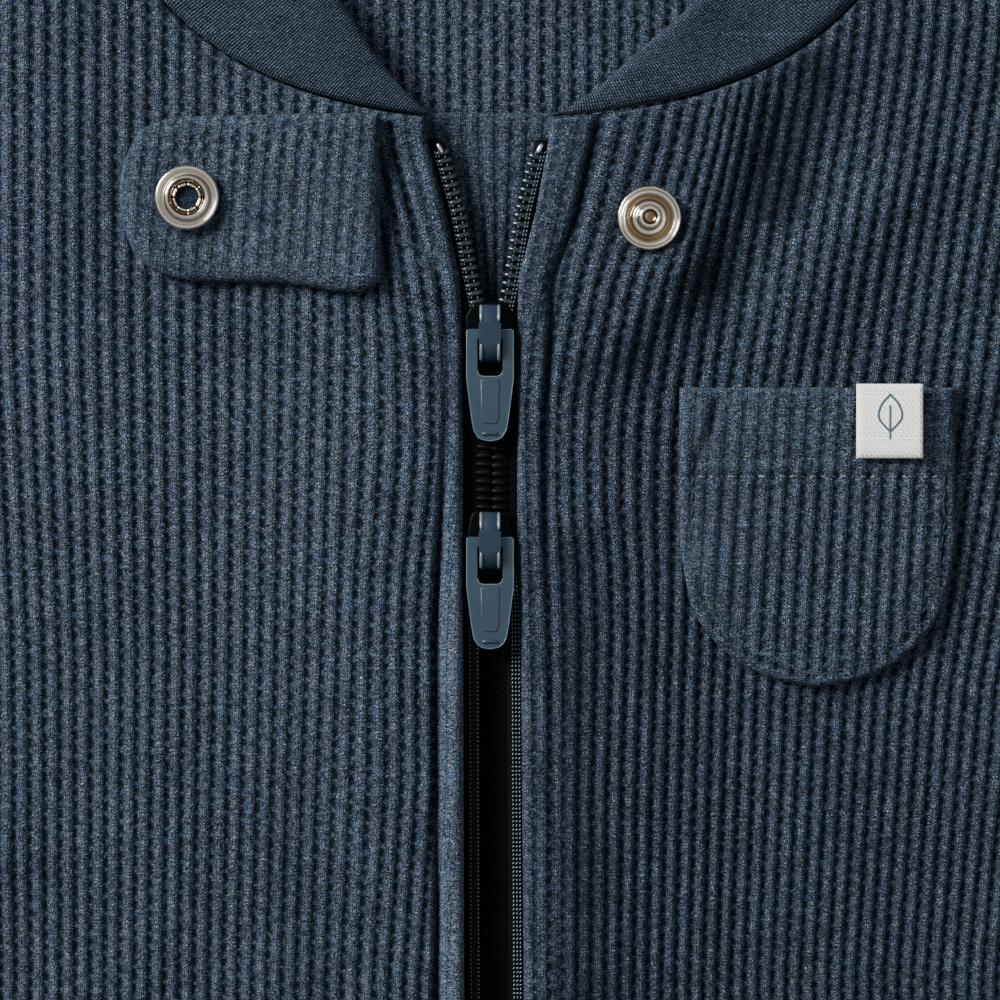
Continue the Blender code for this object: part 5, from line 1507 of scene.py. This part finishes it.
def waffle_group():
    """Waffle stitch on the knit map: u counts the ribs, v is the length along them in mm.

    Four columns of stitches make up each rib, two on its crest and one down each side. The
    groove between ribs is crossed by short links, half a step apart from groove to groove.
    The grooves and the sides of the ribs are painted far darker than the crests, as the shade
    in them. Where the press and shade value is above nothing the ribs turn plain, above one
    they are painted lighter, and below nothing they are painted darker, as shade.
    """
    tree, given = group_tree(
        "waffle_stitch",
        [("Knit", "Vector"), ("Place", "Vector"), ("Pressed", "Float"), ("Course", "Float"),
         ("Link Step", "Float")],
        [("Tone", "Float"), ("Height", "Float")])
    part = put(tree, "ShaderNodeSeparateXYZ", {0: given["Knit"]}).outputs
    uneven = centred(tree, speckle(tree, given["Place"], 700.0))
    ragged = centred(tree, speckle(tree, given["Place"], 2300.0, rough=0.7))
    rib = maths(tree, "MULTIPLY_ADD", uneven, 0.26, part["X"])
    middle = maths(tree, "ABSOLUTE", centred(tree, maths(tree, "FRACT", rib)))
    middle = maths(tree, "MULTIPLY_ADD", ragged, 0.42, middle)
    crest = rest_of(tree, ramped(tree, middle, 0.10, 0.38))
    flank = rest_of(tree, ramped(tree, middle, 0.32, 0.46))
    wale = maths(tree, "MULTIPLY", rib, 4.0)
    across = maths(tree, "MULTIPLY_ADD", maths(tree, "FRACT", wale), 2.0, -1.0)
    beside = maths(tree, "ABSOLUTE", across)
    start = put(tree, "ShaderNodeTexWhiteNoise", {"W": maths(tree, "FLOOR", part["X"])},
                noise_dimensions="1D").outputs["Value"]
    row = maths(tree, "ADD", start, maths(tree, "DIVIDE", part["Y"], given["Course"]))
    row = maths(tree, "MULTIPLY_ADD", uneven, 2.2, row)
    row = maths(tree, "MULTIPLY_ADD", beside, -0.95, row)
    leg = maths(tree, "POWER", wave(tree, row), 1.6)
    cell = put(tree, "ShaderNodeCombineXYZ",
               {"X": maths(tree, "FLOOR", wale), "Y": maths(tree, "FLOOR", row)}).outputs[0]
    luck = put(tree, "ShaderNodeTexWhiteNoise", {"Vector": cell},
               noise_dimensions="2D").outputs["Value"]
    profile = maths(tree, "MULTIPLY", ramped(tree, beside, -0.05, 0.45),
                    rest_of(tree, ramped(tree, beside, 0.65, 1.15)))
    stitch = maths(tree, "MULTIPLY", maths(tree, "MULTIPLY_ADD", leg, 0.95, 0.05), profile)
    sparkle = maths(tree, "MULTIPLY", stitch, maths(tree, "MULTIPLY_ADD", luck, 2.4, 0.7))
    odd = maths(tree, "MULTIPLY", maths(tree, "ROUND", part["X"]), 0.5)
    step = maths(tree, "DIVIDE", part["Y"], given["Link Step"])
    step = maths(tree, "MULTIPLY_ADD", uneven, 1.1, maths(tree, "ADD", step, odd))
    link = ramped(tree, maths(tree, "MULTIPLY_ADD", ragged, 0.9, wave(tree, step)), 0.45, 1.0)
    groove = maths(tree, "MULTIPLY", link, 0.34)
    side = maths(tree, "MULTIPLY_ADD", sparkle, 0.22, 0.03)
    ridge = maths(tree, "MULTIPLY_ADD", sparkle, 0.95, 0.05)
    tone = between(tree, crest, between(tree, flank, groove, side), ridge)
    plain = maths(tree, "MULTIPLY_ADD", sparkle, 0.42, 0.14)
    plain = maths(tree, "MULTIPLY", plain, maths(tree, "MAXIMUM", given["Pressed"], 1.0))
    flat = maths(tree, "MAXIMUM", given["Pressed"], 0.0)
    sink_and_painted_shade = maths(tree, "MAXIMUM", maths(tree, "MULTIPLY", given["Pressed"], -0.95), 0.0)
    tone = maths(tree, "MULTIPLY", between(tree, flat, tone, plain), rest_of(tree, sink_and_painted_shade))
    height = maths(tree, "ADD", maths(tree, "MULTIPLY", stitch, 0.7),
                   maths(tree, "MULTIPLY", rest_of(tree, flank),
                         maths(tree, "MULTIPLY_ADD", link, 0.5, -0.9)))
    put(tree, "NodeGroupOutput", {"Tone": tone, "Height": height})
    return tree


def fine_rib_group():
    """Fine rib on the knit map: u counts the wales, v is the length along them in mm."""
    tree, given = group_tree(
        "fine_rib_stitch", [("Knit", "Vector"), ("Place", "Vector"), ("Course", "Float")],
        [("Crest", "Float"), ("Stitch", "Float"), ("Height", "Float")])
    part = put(tree, "ShaderNodeSeparateXYZ", {0: given["Knit"]}).outputs
    uneven = speckle(tree, given["Place"], 1500.0)
    sway = maths(tree, "MULTIPLY", centred(tree, uneven), 0.5)
    across = maths(tree, "FRACT", maths(tree, "ADD", part["X"], sway))
    middle = maths(tree, "ABSOLUTE", centred(tree, across))
    crest = rest_of(tree, ramped(tree, middle, 0.12, 0.46))
    row = maths(tree, "DIVIDE", part["Y"], given["Course"])
    loops = wave(tree, maths(tree, "MULTIPLY_ADD", middle, -0.9,
                             maths(tree, "MULTIPLY_ADD", sway, 1.2, row)))
    height = maths(tree, "MULTIPLY", crest, maths(tree, "MULTIPLY_ADD", loops, 0.4, 0.6))
    put(tree, "NodeGroupOutput", {"Crest": crest, "Stitch": loops, "Height": height})
    return tree


def weave_group():
    """Plain weave: threads over and under in turn."""
    tree, given = group_tree("plain_weave", [("Map", "Vector"), ("Threads", "Float")],
                             [("Height", "Float")])
    scaled = put(tree, "ShaderNodeVectorMath", {0: given["Map"], "Scale": given["Threads"]},
                 operation="SCALE").outputs[0]
    part = put(tree, "ShaderNodeSeparateXYZ", {0: scaled}).outputs
    warp, weft = wave(tree, part["X"]), wave(tree, part["Y"])
    cell = maths(tree, "ADD", maths(tree, "FLOOR", maths(tree, "ADD", part["X"], 0.5)),
                 maths(tree, "FLOOR", maths(tree, "ADD", part["Y"], 0.5)))
    over = maths(tree, "GREATER_THAN", maths(tree, "FRACT", maths(tree, "MULTIPLY", cell, 0.5)),
                 0.25)
    chosen = maths(tree, "ADD", maths(tree, "MULTIPLY", over, warp),
                   maths(tree, "MULTIPLY", rest_of(tree, over), weft))
    put(tree, "NodeGroupOutput", {"Height": chosen})
    return tree


def finish(name, rough, metal=0.0, **fixed):
    """A material with its surface shader; fixed names the shader's own settings."""
    material = bpy.data.materials.new(name)
    material.use_nodes = True
    tree = material.node_tree
    surface = tree.nodes["Principled BSDF"]
    surface.inputs["Roughness"].default_value = rough
    surface.inputs["Metallic"].default_value = metal
    for socket, value in fixed.items():
        surface.inputs[socket.replace("_", " ")].default_value = value
    place = tree.nodes.new("ShaderNodeTexCoord").outputs["Object"]
    return material, tree, surface, place


def fed(surface, **values):
    """Links values that change over the surface to the shader's own sockets."""
    for socket, value in values.items():
        surface.id_data.links.new(value, surface.inputs[socket.replace("_", " ")])


def placed_group(tree, group, **values):
    """A shared group with its own values; gives its outputs."""
    named = {socket.replace("_", " "): value for socket, value in values.items()}
    return put(tree, "ShaderNodeGroup", named, node_tree=group).outputs


def bump(tree, height, distance):
    """The surface's direction where the height tilts it; distance is in millimetres."""
    return put(tree, "ShaderNodeBump", {"Height": height, "Distance": distance * MM,
                                        "Strength": 1.0}).outputs["Normal"]


def knit_map(tree):
    return put(tree, "ShaderNodeUVMap", uv_map="knit").outputs["UV"]


def point_value(tree, name):
    """A share kept on the points of the mesh."""
    return put(tree, "ShaderNodeAttribute", attribute_name=name).outputs["Fac"]


def tinted(tree, shade, colour):
    """The colour made lighter or darker by a shade round 1."""
    return put(tree, "ShaderNodeVectorMath", {0: colour, "Scale": shade},
               operation="SCALE").outputs[0]


NAVY_DEEP = (0.0008, 0.0020, 0.0050)
NAVY_LIGHT = (0.067, 0.098, 0.155)
PALE_FIBRE = (0.33, 0.37, 0.38)
RIB_GROOVE = (0.003, 0.006, 0.011)
RIB_LOW, RIB_HIGH = (0.012, 0.020, 0.032), (0.062, 0.086, 0.122)
TAPE_BLACK = (0.0012, 0.0019, 0.0028)
COURSE, RIB_COURSE = 0.49, 0.5      # length of a stitch along the ribs
LINK_STEP = 2.15                    # from one link in a groove to the next
TAPE_THREADS = 2.6                  # in each millimetre


def cloth_surface(name):
    """Matt knit with a faint bloom of fibres."""
    return finish(name, 0.95, Sheen_Weight=0.04, Sheen_Roughness=0.6,
                  Sheen_Tint=(0.3, 0.5, 0.75, 1), Specular_IOR_Level=0.06)


def yarn_colour(tree, yarn, base, tone, fuzz):
    """A base colour with the yarn's own shades, and pale fibres that lie over it."""
    shaded = tinted(tree, maths(tree, "MULTIPLY", yarn["Shade"], tone), base)
    return blended(tree, maths(tree, "MULTIPLY", yarn["Pale"], fuzz), shaded, PALE_FIBRE)


def waffle_finish(name, groups, tone=1.0):
    material, tree, surface, place = cloth_surface(name)
    stitch = placed_group(tree, groups["waffle"], Knit=knit_map(tree), Place=place,
                          Pressed=point_value(tree, "press_and_painted_shade"), Course=COURSE,
                          Link_Step=LINK_STEP)
    yarn = placed_group(tree, groups["heather"], Place=place, Contrast=0.75)
    base = blended(tree, stitch["Tone"], NAVY_DEEP, NAVY_LIGHT)
    fuzz = maths(tree, "MULTIPLY_ADD", stitch["Tone"], 0.75 * tone, 0.04 * tone)
    height = maths(tree, "MULTIPLY_ADD", yarn["Fluff"], 0.5, stitch["Height"])
    fed(surface, Base_Color=yarn_colour(tree, yarn, base, tone, fuzz),
        Normal=bump(tree, height, 0.28))
    return material


def rib_finish(name, groups, tone):
    material, tree, surface, place = cloth_surface(name)
    rib = placed_group(tree, groups["rib"], Knit=knit_map(tree), Place=place, Course=RIB_COURSE)
    yarn = placed_group(tree, groups["heather"], Place=place, Contrast=0.6)
    crest = blended(tree, rib["Stitch"], RIB_LOW, RIB_HIGH)
    # The grooves between the wales are painted near black, as their shade
    base = blended(tree, rib["Crest"], RIB_GROOVE, crest)
    height = maths(tree, "MULTIPLY_ADD", yarn["Fluff"], 0.35, rib["Height"])
    fed(surface, Base_Color=yarn_colour(tree, yarn, base, tone, 0.12 * tone),
        Normal=bump(tree, height, 0.16))
    return material


def plain_cloth_finish(name, groups, colour):
    material, tree, surface, place = finish(name, 0.95, Specular_IOR_Level=0.1)
    yarn = placed_group(tree, groups["heather"], Place=place, Contrast=0.5)
    fed(surface, Base_Color=tinted(tree, yarn["Shade"], colour),
        Normal=bump(tree, yarn["Fluff"], 0.1))
    return material


def tape_finish(groups):
    material, tree, surface, _ = finish("zip_tape_black", 0.9, Specular_IOR_Level=0.08)
    weave = placed_group(tree, groups["weave"], Map=knit_map(tree), Threads=TAPE_THREADS)
    shade = maths(tree, "MULTIPLY_ADD", weave["Height"], 1.1, 0.5)
    fed(surface, Base_Color=tinted(tree, shade, TAPE_BLACK),
        Normal=bump(tree, weave["Height"], 0.08))
    return material


def label_finish(groups):
    """Cream cotton weave; its folded lower band lies a little in its own shade."""
    material, tree, surface, place = finish("label_cream_cotton", 0.9, Sheen_Weight=0.35,
                                            Sheen_Roughness=0.8, Specular_IOR_Level=0.3)
    threads = put(tree, "ShaderNodeMapping", {"Vector": place, "Scale": (2700.0, 2080.0, 1000.0)})
    weave = placed_group(tree, groups["weave"], Map=threads.outputs["Vector"], Threads=1.0)
    yarn = placed_group(tree, groups["heather"], Place=place, Contrast=0.08)
    base = blended(tree, weave["Height"], (0.95, 0.93, 0.84), (1.0, 1.0, 0.94))
    shaded = maths(tree, "MULTIPLY", point_value(tree, "press_and_painted_shade"), 0.2)
    fed(surface, Base_Color=tinted(tree, maths(tree, "SUBTRACT", yarn["Shade"], shaded), base),
        Normal=bump(tree, weave["Height"], 0.06))
    return material


def nickel_finish():
    """Warm nickel, with the brass under it showing in the hollows."""
    material, tree, surface, place = finish("snap_warm_nickel", 0.2, 1.0)
    cloud = speckle(tree, place, 420.0, 3.0)
    fine = speckle(tree, place, 3600.0)
    plated = blended(tree, cloud, (0.88, 0.79, 0.66), (1.0, 0.94, 0.82))
    hollow = blended(tree, cloud, (0.17, 0.115, 0.06), (0.36, 0.26, 0.15))
    fed(surface, Base_Color=blended(tree, point_value(tree, "brass"), plated, hollow),
        Roughness=maths(tree, "MULTIPLY_ADD", fine, 0.06, 0.11))
    return material


def mottled_finish(name, low, high, rough, scale, detail=2.0, metal=0.0, uneven=0.0, **fixed):
    """A surface whose colour, and with uneven its roughness too, shifts with a fine haze."""
    material, tree, surface, place = finish(name, rough, metal, **fixed)
    haze = speckle(tree, place, scale, detail)
    fed(surface, Base_Color=blended(tree, haze, low, high))
    if uneven:
        fed(surface, Roughness=maths(tree, "MULTIPLY_ADD", haze, uneven, rough))
    return material, tree, surface, haze


def coil_finish(name, low, high, rough, **fixed):
    return mottled_finish(name, low, high, rough, 1500.0, uneven=0.2, **fixed)[0]


def enamel_finish(name, low, high, rough, **fixed):
    """Baked paint on a small casting, with a faint orange peel."""
    material, tree, surface, _ = mottled_finish(name, low, high, rough - 0.03, 260.0, 3.0,
                                                uneven=0.06, **fixed)
    place = tree.nodes.new("ShaderNodeTexCoord").outputs["Object"]
    fed(surface, Normal=bump(tree, speckle(tree, place, 1300.0), 0.012))
    return material


def thread_finish(name, low, high):
    material, tree, surface, haze = mottled_finish(name, low, high, 0.7, 2600.0, 3.0,
                                                   Sheen_Weight=0.2, Specular_IOR_Level=0.3)
    fed(surface, Normal=bump(tree, haze, 0.03))
    return material


def bright_metal_finish():
    return mottled_finish("zip_end_stop", (0.55, 0.56, 0.58), (0.8, 0.8, 0.82), 0.28, 900.0,
                          metal=1.0)[0]


def floor_finish():
    return mottled_finish("pale_floor", (0.74, 0.74, 0.73), (0.80, 0.80, 0.79), 0.75, 6.0, 3.0,
                          Specular_IOR_Level=0.2)[0]


def finishes(groups):
    """Every finish of the sleeper."""
    # Light colours for painted highlights on the crown's rails and along the pulls' edges
    painted_highlight_low, painted_highlight_high = (0.06, 0.09, 0.11), (0.14, 0.18, 0.20)
    looks = {
        "knit": waffle_finish("waffle_navy", groups),
        # A darker copy of the knit for the wearer's left front: painted shade, as less light falls
        # there
        "knit_left_painted_shade": waffle_finish("waffle_navy_left_front_painted_shade", groups, tone=0.86),
        # A darker copy of the knit for the guard: painted shade
        "knit_guard_painted_shade": waffle_finish("waffle_navy_guard_painted_shade", groups, tone=0.9),
        "ribbing": rib_finish("rib_navy", groups, tone=0.88),
        # A darker copy of the ribbing for the right neckband: painted shade
        "ribbing_shaded": rib_finish("rib_navy_right_painted_shade", groups, tone=0.68),
        # Near black: painted shade for the narrow opening below the sliders
        "backing": plain_cloth_finish("zip_backing_painted_shade", groups, (0.0014, 0.0018, 0.0024)),
        # A darker cloth for inside the socket's hole: painted shade
        "under_snap": plain_cloth_finish("cloth_under_snap_painted_shade", groups, (0.007, 0.012, 0.018)),
        "tape": tape_finish(groups),
        "label": label_finish(groups),
        "nickel": nickel_finish(),
        "bright": bright_metal_finish(),
        "coil_open": coil_finish("zip_nylon_coil", (0.002, 0.006, 0.008), (0.007, 0.019, 0.024),
                                 0.12, Specular_IOR_Level=0.6),
        "coil_shut": coil_finish("zip_nylon_shut", (0.0004, 0.0007, 0.0009),
                                 (0.0012, 0.0020, 0.0024), 0.45, Specular_IOR_Level=0.08),
        "pull": enamel_finish("enamel_blue_grey", (0.012, 0.026, 0.041), (0.017, 0.034, 0.052),
                              0.36, Coat_Weight=0.2, Coat_Roughness=0.12,
                              Specular_IOR_Level=0.4),
        "crown": enamel_finish("enamel_crown", (0.012, 0.022, 0.035), (0.014, 0.025, 0.039),
                               0.55, Specular_IOR_Level=0.12),
        "rails": enamel_finish("enamel_painted_highlight", painted_highlight_low, painted_highlight_high, 0.25, Coat_Weight=0.5,
                               Coat_Roughness=0.1, Specular_IOR_Level=0.6),
        "rim": enamel_finish("enamel_edge_painted_highlight", painted_highlight_low, painted_highlight_high, 0.3, Coat_Weight=0.2,
                             Coat_Roughness=0.1),
        "slider": enamel_finish("enamel_black", (0.0008, 0.0012, 0.0018),
                                (0.0016, 0.0024, 0.0036), 0.3, Specular_IOR_Level=0.05),
    }
    threads = {
        "navy": ((0.004, 0.007, 0.012), (0.02, 0.03, 0.045)),
        "heather": ((0.05, 0.075, 0.11), (0.27, 0.31, 0.35)),
        "zip": ((0.012, 0.024, 0.030), (0.16, 0.22, 0.24)),
        "zip_pale": ((0.03, 0.07, 0.08), (0.24, 0.36, 0.38)),
        "zip_dark": ((0.006, 0.010, 0.012), (0.030, 0.042, 0.046)),
        "leaf": ((0.03, 0.06, 0.08), (0.06, 0.10, 0.13)),
    }
    for name, (low, high) in threads.items():
        looks["thread_" + name] = thread_finish("thread_" + name, low, high)
    return looks


# ---------------------------------------------------------------- putting the sleeper together


def worn_by(item, nodes, body=BODY):
    """The piece moves with a body and stands for its solids, which are hidden."""
    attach(item, body)
    if nodes:
        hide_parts(*nodes)


def laid_cloth(item, node, outline=None):
    """Lets a cut piece move with the garment and stand for its solid; its outline is not used."""
    worn_by(item, [node])


def line_on(path, height):
    """A path on the garment lifted to a height function."""
    return [(x, y, float(height(x, y))) for x, y in path]


def coil_line(side, across, start, end, up):
    """A line beside the middle of a coil, raised above its tape."""
    return [(float(beside_zip(side, y, "coil")) + side * across, y, float(zip_low(y)) - GAP + up)
            for y in steps(start, end, 1.0)]


def topstitch_line(side):
    """Stitching through the turned edge beside the zip."""
    path = []
    for y in steps(-3, -470, 1.5):
        off = float(column(TOPSTITCH, y, HAND[side]))
        path.append((float(beside_zip(side, y, "fold")) + side * off, y))
    firm = SEAM_FIRM[side]
    return line_on(path, lambda x, y: lift(x, y) + CLOTH - 0.05 - column(firm, y, "deep"))


def lay_panels(looks):
    laid_cloth(back_cloth(looks["knit"]), "back",
               outline=back_outline())
    for side, knit in ((RIGHT, looks["knit"]), (LEFT, looks["knit_left_painted_shade"])):
        node = "front_" + HAND[side]
        laid_cloth(front_cloth(side, node + "_knit", knit), node,
                   outline=front_outline(side))


def lay_zip(looks):
    guard, backing, *tapes = zip_cloths(looks["knit_guard_painted_shade"], looks["backing"], looks["tape"])
    laid_cloth(guard, "zip_guard")
    laid_cloth(backing, "zip_backing")
    for tape, hand in zip(tapes, HAND.values()):
        laid_cloth(tape, "zip_tape_" + hand)


def lay_neckband(looks):
    for part, piece in neckbands(looks["ribbing"], looks["ribbing_shaded"]).items():
        laid_cloth(piece, "neckband_" + part)


def lay_cuff(limb, side, corners, ribbing):
    laid_cloth(cuff(f"{limb}_rib_{HAND[side]}", corners, ribbing), f"{limb}_cuff_{HAND[side]}")


def lay_limbs(side, looks):
    arm, corners = sleeve("sleeve_knit_" + HAND[side], side, looks["knit"])
    laid_cloth(arm, "sleeve_" + HAND[side])
    lay_cuff("wrist", side, corners, looks["ribbing"])
    middle = (LEG_IN_X + LEG_OUT_X) / 2 * side
    half = ANKLE_CUFF_WIDE / 2
    corners = cuff_corners(middle - half, middle + half, LEG_END_Y - GAP, -CUFF_LONG)
    lay_cuff("ankle", side, corners, looks["ribbing"])


def lay_small_pieces(looks):
    laid_cloth(tab_cloth(looks["knit"]), "tab",
               outline=tab_outline())
    laid_cloth(pocket_cloth(looks["knit"]), "pocket",
               outline=joined(*pocket_outline()))
    laid_cloth(label_cloth(looks["label"]), "label")


def fit_hardware(looks):
    socket, stud, well = snaps(looks["nickel"], looks["under_snap"])
    worn_by(socket, ["snap_socket"])
    worn_by(stud, ["snap_stud"])
    worn_by(well, [])
    for name, bar_y, ahead in (("upper", UPPER_BAR_Y, 1), ("lower", LOWER_BAR_Y, -1)):
        body, crown, rails = slider("slider_" + name, bar_y, ahead, looks["slider"],
                                    looks["crown"], looks["rails"])
        worn_by(body, ["slider_" + name])
        worn_by(crown, [])
        worn_by(rails, [])
        tab, edge = pull("pull_tab_" + name, bar_y, looks["pull"], looks["rim"])
        worn_by(tab, ["pull_" + name], name + "_pull")
        worn_by(edge, [], name + "_pull")


def end_stop(side, metal):
    """The short metal bar at the top of a coil."""
    y = ZIP_TOP_Y - 1.4
    x, z = float(beside_zip(side, y, "coil")), float(zip_low(y)) - GAP + 0.7
    path = [(x - side * 0.3 + side * 0.16 * t, y - 0.75 + 0.3 * t, z) for t in range(6)]
    return tube("end_stop_" + HAND[side], path, 0.38, metal)


def sew_zip(side, loops, stitches, looks):
    """Coil loops, the stitching that holds them, the end stop and the topstitching."""
    hand = HAND[side]
    shift = 0.0 if side == RIGHT else TOOTH_PITCH / 2
    start, end = ZIP_TOP_Y - 2, ZIP_END_Y + 2
    for part, top, low in (("open", start - shift, UPPER_BAR_Y),
                           ("shut", UPPER_BAR_Y - shift, LOWER_BAR_Y)):
        coil = sewn(f"coil_{part}_{hand}", loops, [coil_line(side, 0.0, top, low, 0.1)],
                    looks["coil_" + part], COIL_LOOP)
        worn_by(coil, [])
    rows = [coil_line(side, across, start, UPPER_BAR_Y, 0.5) for across in CHAIN_ROWS]
    chain = sewn("coil_stitching_" + hand, stitches, rows, looks["thread_zip"], CHAIN_STITCH)
    worn_by(chain, [])
    rows = [coil_line(side, across, LOWER_BAR_Y, end, 0.4) for across in HEAD_ROWS[side]]
    heads = sewn("coil_heads_" + hand, stitches, rows,
                 looks["thread_zip_dark" if side == RIGHT else "thread_zip_pale"],
                 HEAD_STITCH._replace(turn=-side * HEAD_STITCH.turn))
    worn_by(heads, [])
    worn_by(end_stop(side, looks["bright"]), [])
    seam = sewn("topstitch_" + hand, stitches, [topstitch_line(side)], looks["thread_navy"],
                TOP_STITCH)
    worn_by(seam, [])


def sew_pocket(stitches, looks):
    inset_x = 1.6
    left, right = POCKET_X - POCKET_HALF + inset_x, POCKET_X + POCKET_HALF - inset_x

    def seat(x, y):
        far = min(x - left + inset_x, right + inset_x - x)
        return pocket_top(x, y, pocket_ribs()[1](x, y), np.array(far)) + 0.02

    rows = [line_on(run((left, row), (right, row), 0.4), seat) for row in HEM_ROWS]
    hem = sewn("pocket_hem_stitches", stitches, rows, looks["thread_heather"], HEM_STITCH)
    worn_by(hem, [])
    path = [p for p in pocket_outline(EDGE_SEAM)[0] if p[1] < POCKET_TOP_Y - 2]
    edge = sewn("pocket_edge_stitches", stitches,
                [line_on(path, lambda x, y: on_front(x, y) + CLOTH - 0.05)],
                looks["thread_navy"], EDGE_STITCH)
    worn_by(edge, [])


def sew_leaf(stitches, material):
    """A small plain leaf worked on the label in satin stitches."""
    middle_x, middle_y = LABEL_LEFT_X + LABEL_WIDE / 2, LABEL_TOP_Y - 4.6
    lines = [curve([(middle_x, middle_y - 2.6), (middle_x + side * 1.7, middle_y - 0.6),
                    (middle_x + side * 1.35, middle_y + 1.4), (middle_x, middle_y + 3.0)], 0.2)
             for side in (LEFT, RIGHT)]
    lines.append(run((middle_x, middle_y - 3.6), (middle_x, middle_y + 1.2), 0.2))
    level = [line_on(line, lambda x, y: label_low(x, y) + LABEL_WALL) for line in lines]
    worn_by(sewn("label_leaf", stitches, level, material, LEAF_STITCH), [])


def build_garment(looks):
    lay_panels(looks)
    lay_zip(looks)
    lay_neckband(looks)
    for side in HAND:
        lay_limbs(side, looks)
    lay_small_pieces(looks)
    fit_hardware(looks)
    loops = sewing_tree("coil_loops", bent=True)
    stitches = sewing_tree("stitches", bent=False)
    for side in HAND:
        sew_zip(side, loops, stitches, looks)
    sew_pocket(stitches, looks)
    sew_leaf(stitches, looks["thread_leaf"])


# ---------------------------------------------------------------- light and camera

Lamp = namedtuple("Lamp", "name place size power")
LAMPS = [Lamp("key", (-0.68, 0.62, 0.52), size=0.42, power=27.0),
         Lamp("fill", (0.6, 0.0, 0.9), size=0.9, power=1.7)]
SKY_LOW, SKY_HIGH, SKY_POWER = (0.10, 0.11, 0.12), (0.90, 0.95, 1.0), 0.57
FLOOR_REACH, FLOOR_LOW = 1.6, -0.0006
VIEW_Z = 0.006
LENS, SENSOR = 100.0, 36.0


def area_light(lamp, aim):
    light = bpy.data.lights.new(lamp.name, "AREA")
    light.shape = "SQUARE"
    light.size = lamp.size
    light.energy = lamp.power
    item = stood(lamp.name, light)
    item.location = lamp.place
    item.rotation_euler = (aim - Vector(lamp.place)).to_track_quat("-Z", "Y").to_euler()


def soft_room():
    """The room's own light, darker near the floor than overhead."""
    world = bpy.data.worlds.new("soft_room")
    bpy.context.scene.world = world
    world.use_nodes = True
    tree = world.node_tree
    way = tree.nodes.new("ShaderNodeTexCoord").outputs["Generated"]
    height = put(tree, "ShaderNodeSeparateXYZ", {0: way}).outputs["Z"]
    sky = blended(tree, ramped(tree, height, 0.05, 0.95), SKY_LOW, SKY_HIGH)
    tree.links.new(sky, tree.nodes["Background"].inputs["Color"])
    tree.nodes["Background"].inputs["Strength"].default_value = SKY_POWER


def plain_floor():
    mesh = bpy.data.meshes.new("floor")
    corners = [(-FLOOR_REACH, -FLOOR_REACH), (FLOOR_REACH, -FLOOR_REACH),
               (FLOOR_REACH, FLOOR_REACH), (-FLOOR_REACH, FLOOR_REACH)]
    mesh.from_pydata([(x, y, FLOOR_LOW) for x, y in corners], [], [(0, 1, 2, 3)])
    mesh.materials.append(floor_finish())
    stood("floor", mesh)


def camera_above(aim):
    lens = bpy.data.cameras.new("camera")
    lens.lens = LENS
    lens.sensor_width = SENSOR
    camera = stood("camera", lens)
    camera.location = aim + Vector((0, 0, VIEW_WIDE * MM * LENS / SENSOR))
    bpy.context.scene.camera = camera


def studio():
    aim = Vector((VIEW_X * MM, (VIEW_Y - MIDDLE_Y) * MM, VIEW_Z))
    for lamp in LAMPS:
        area_light(lamp, aim)
    soft_room()
    plain_floor()
    camera_above(aim)


def main():
    studio()
    groups = {"waffle": waffle_group(), "rib": fine_rib_group(), "heather": heather_group(),
              "weave": weave_group()}
    build_garment(finishes(groups))


main()
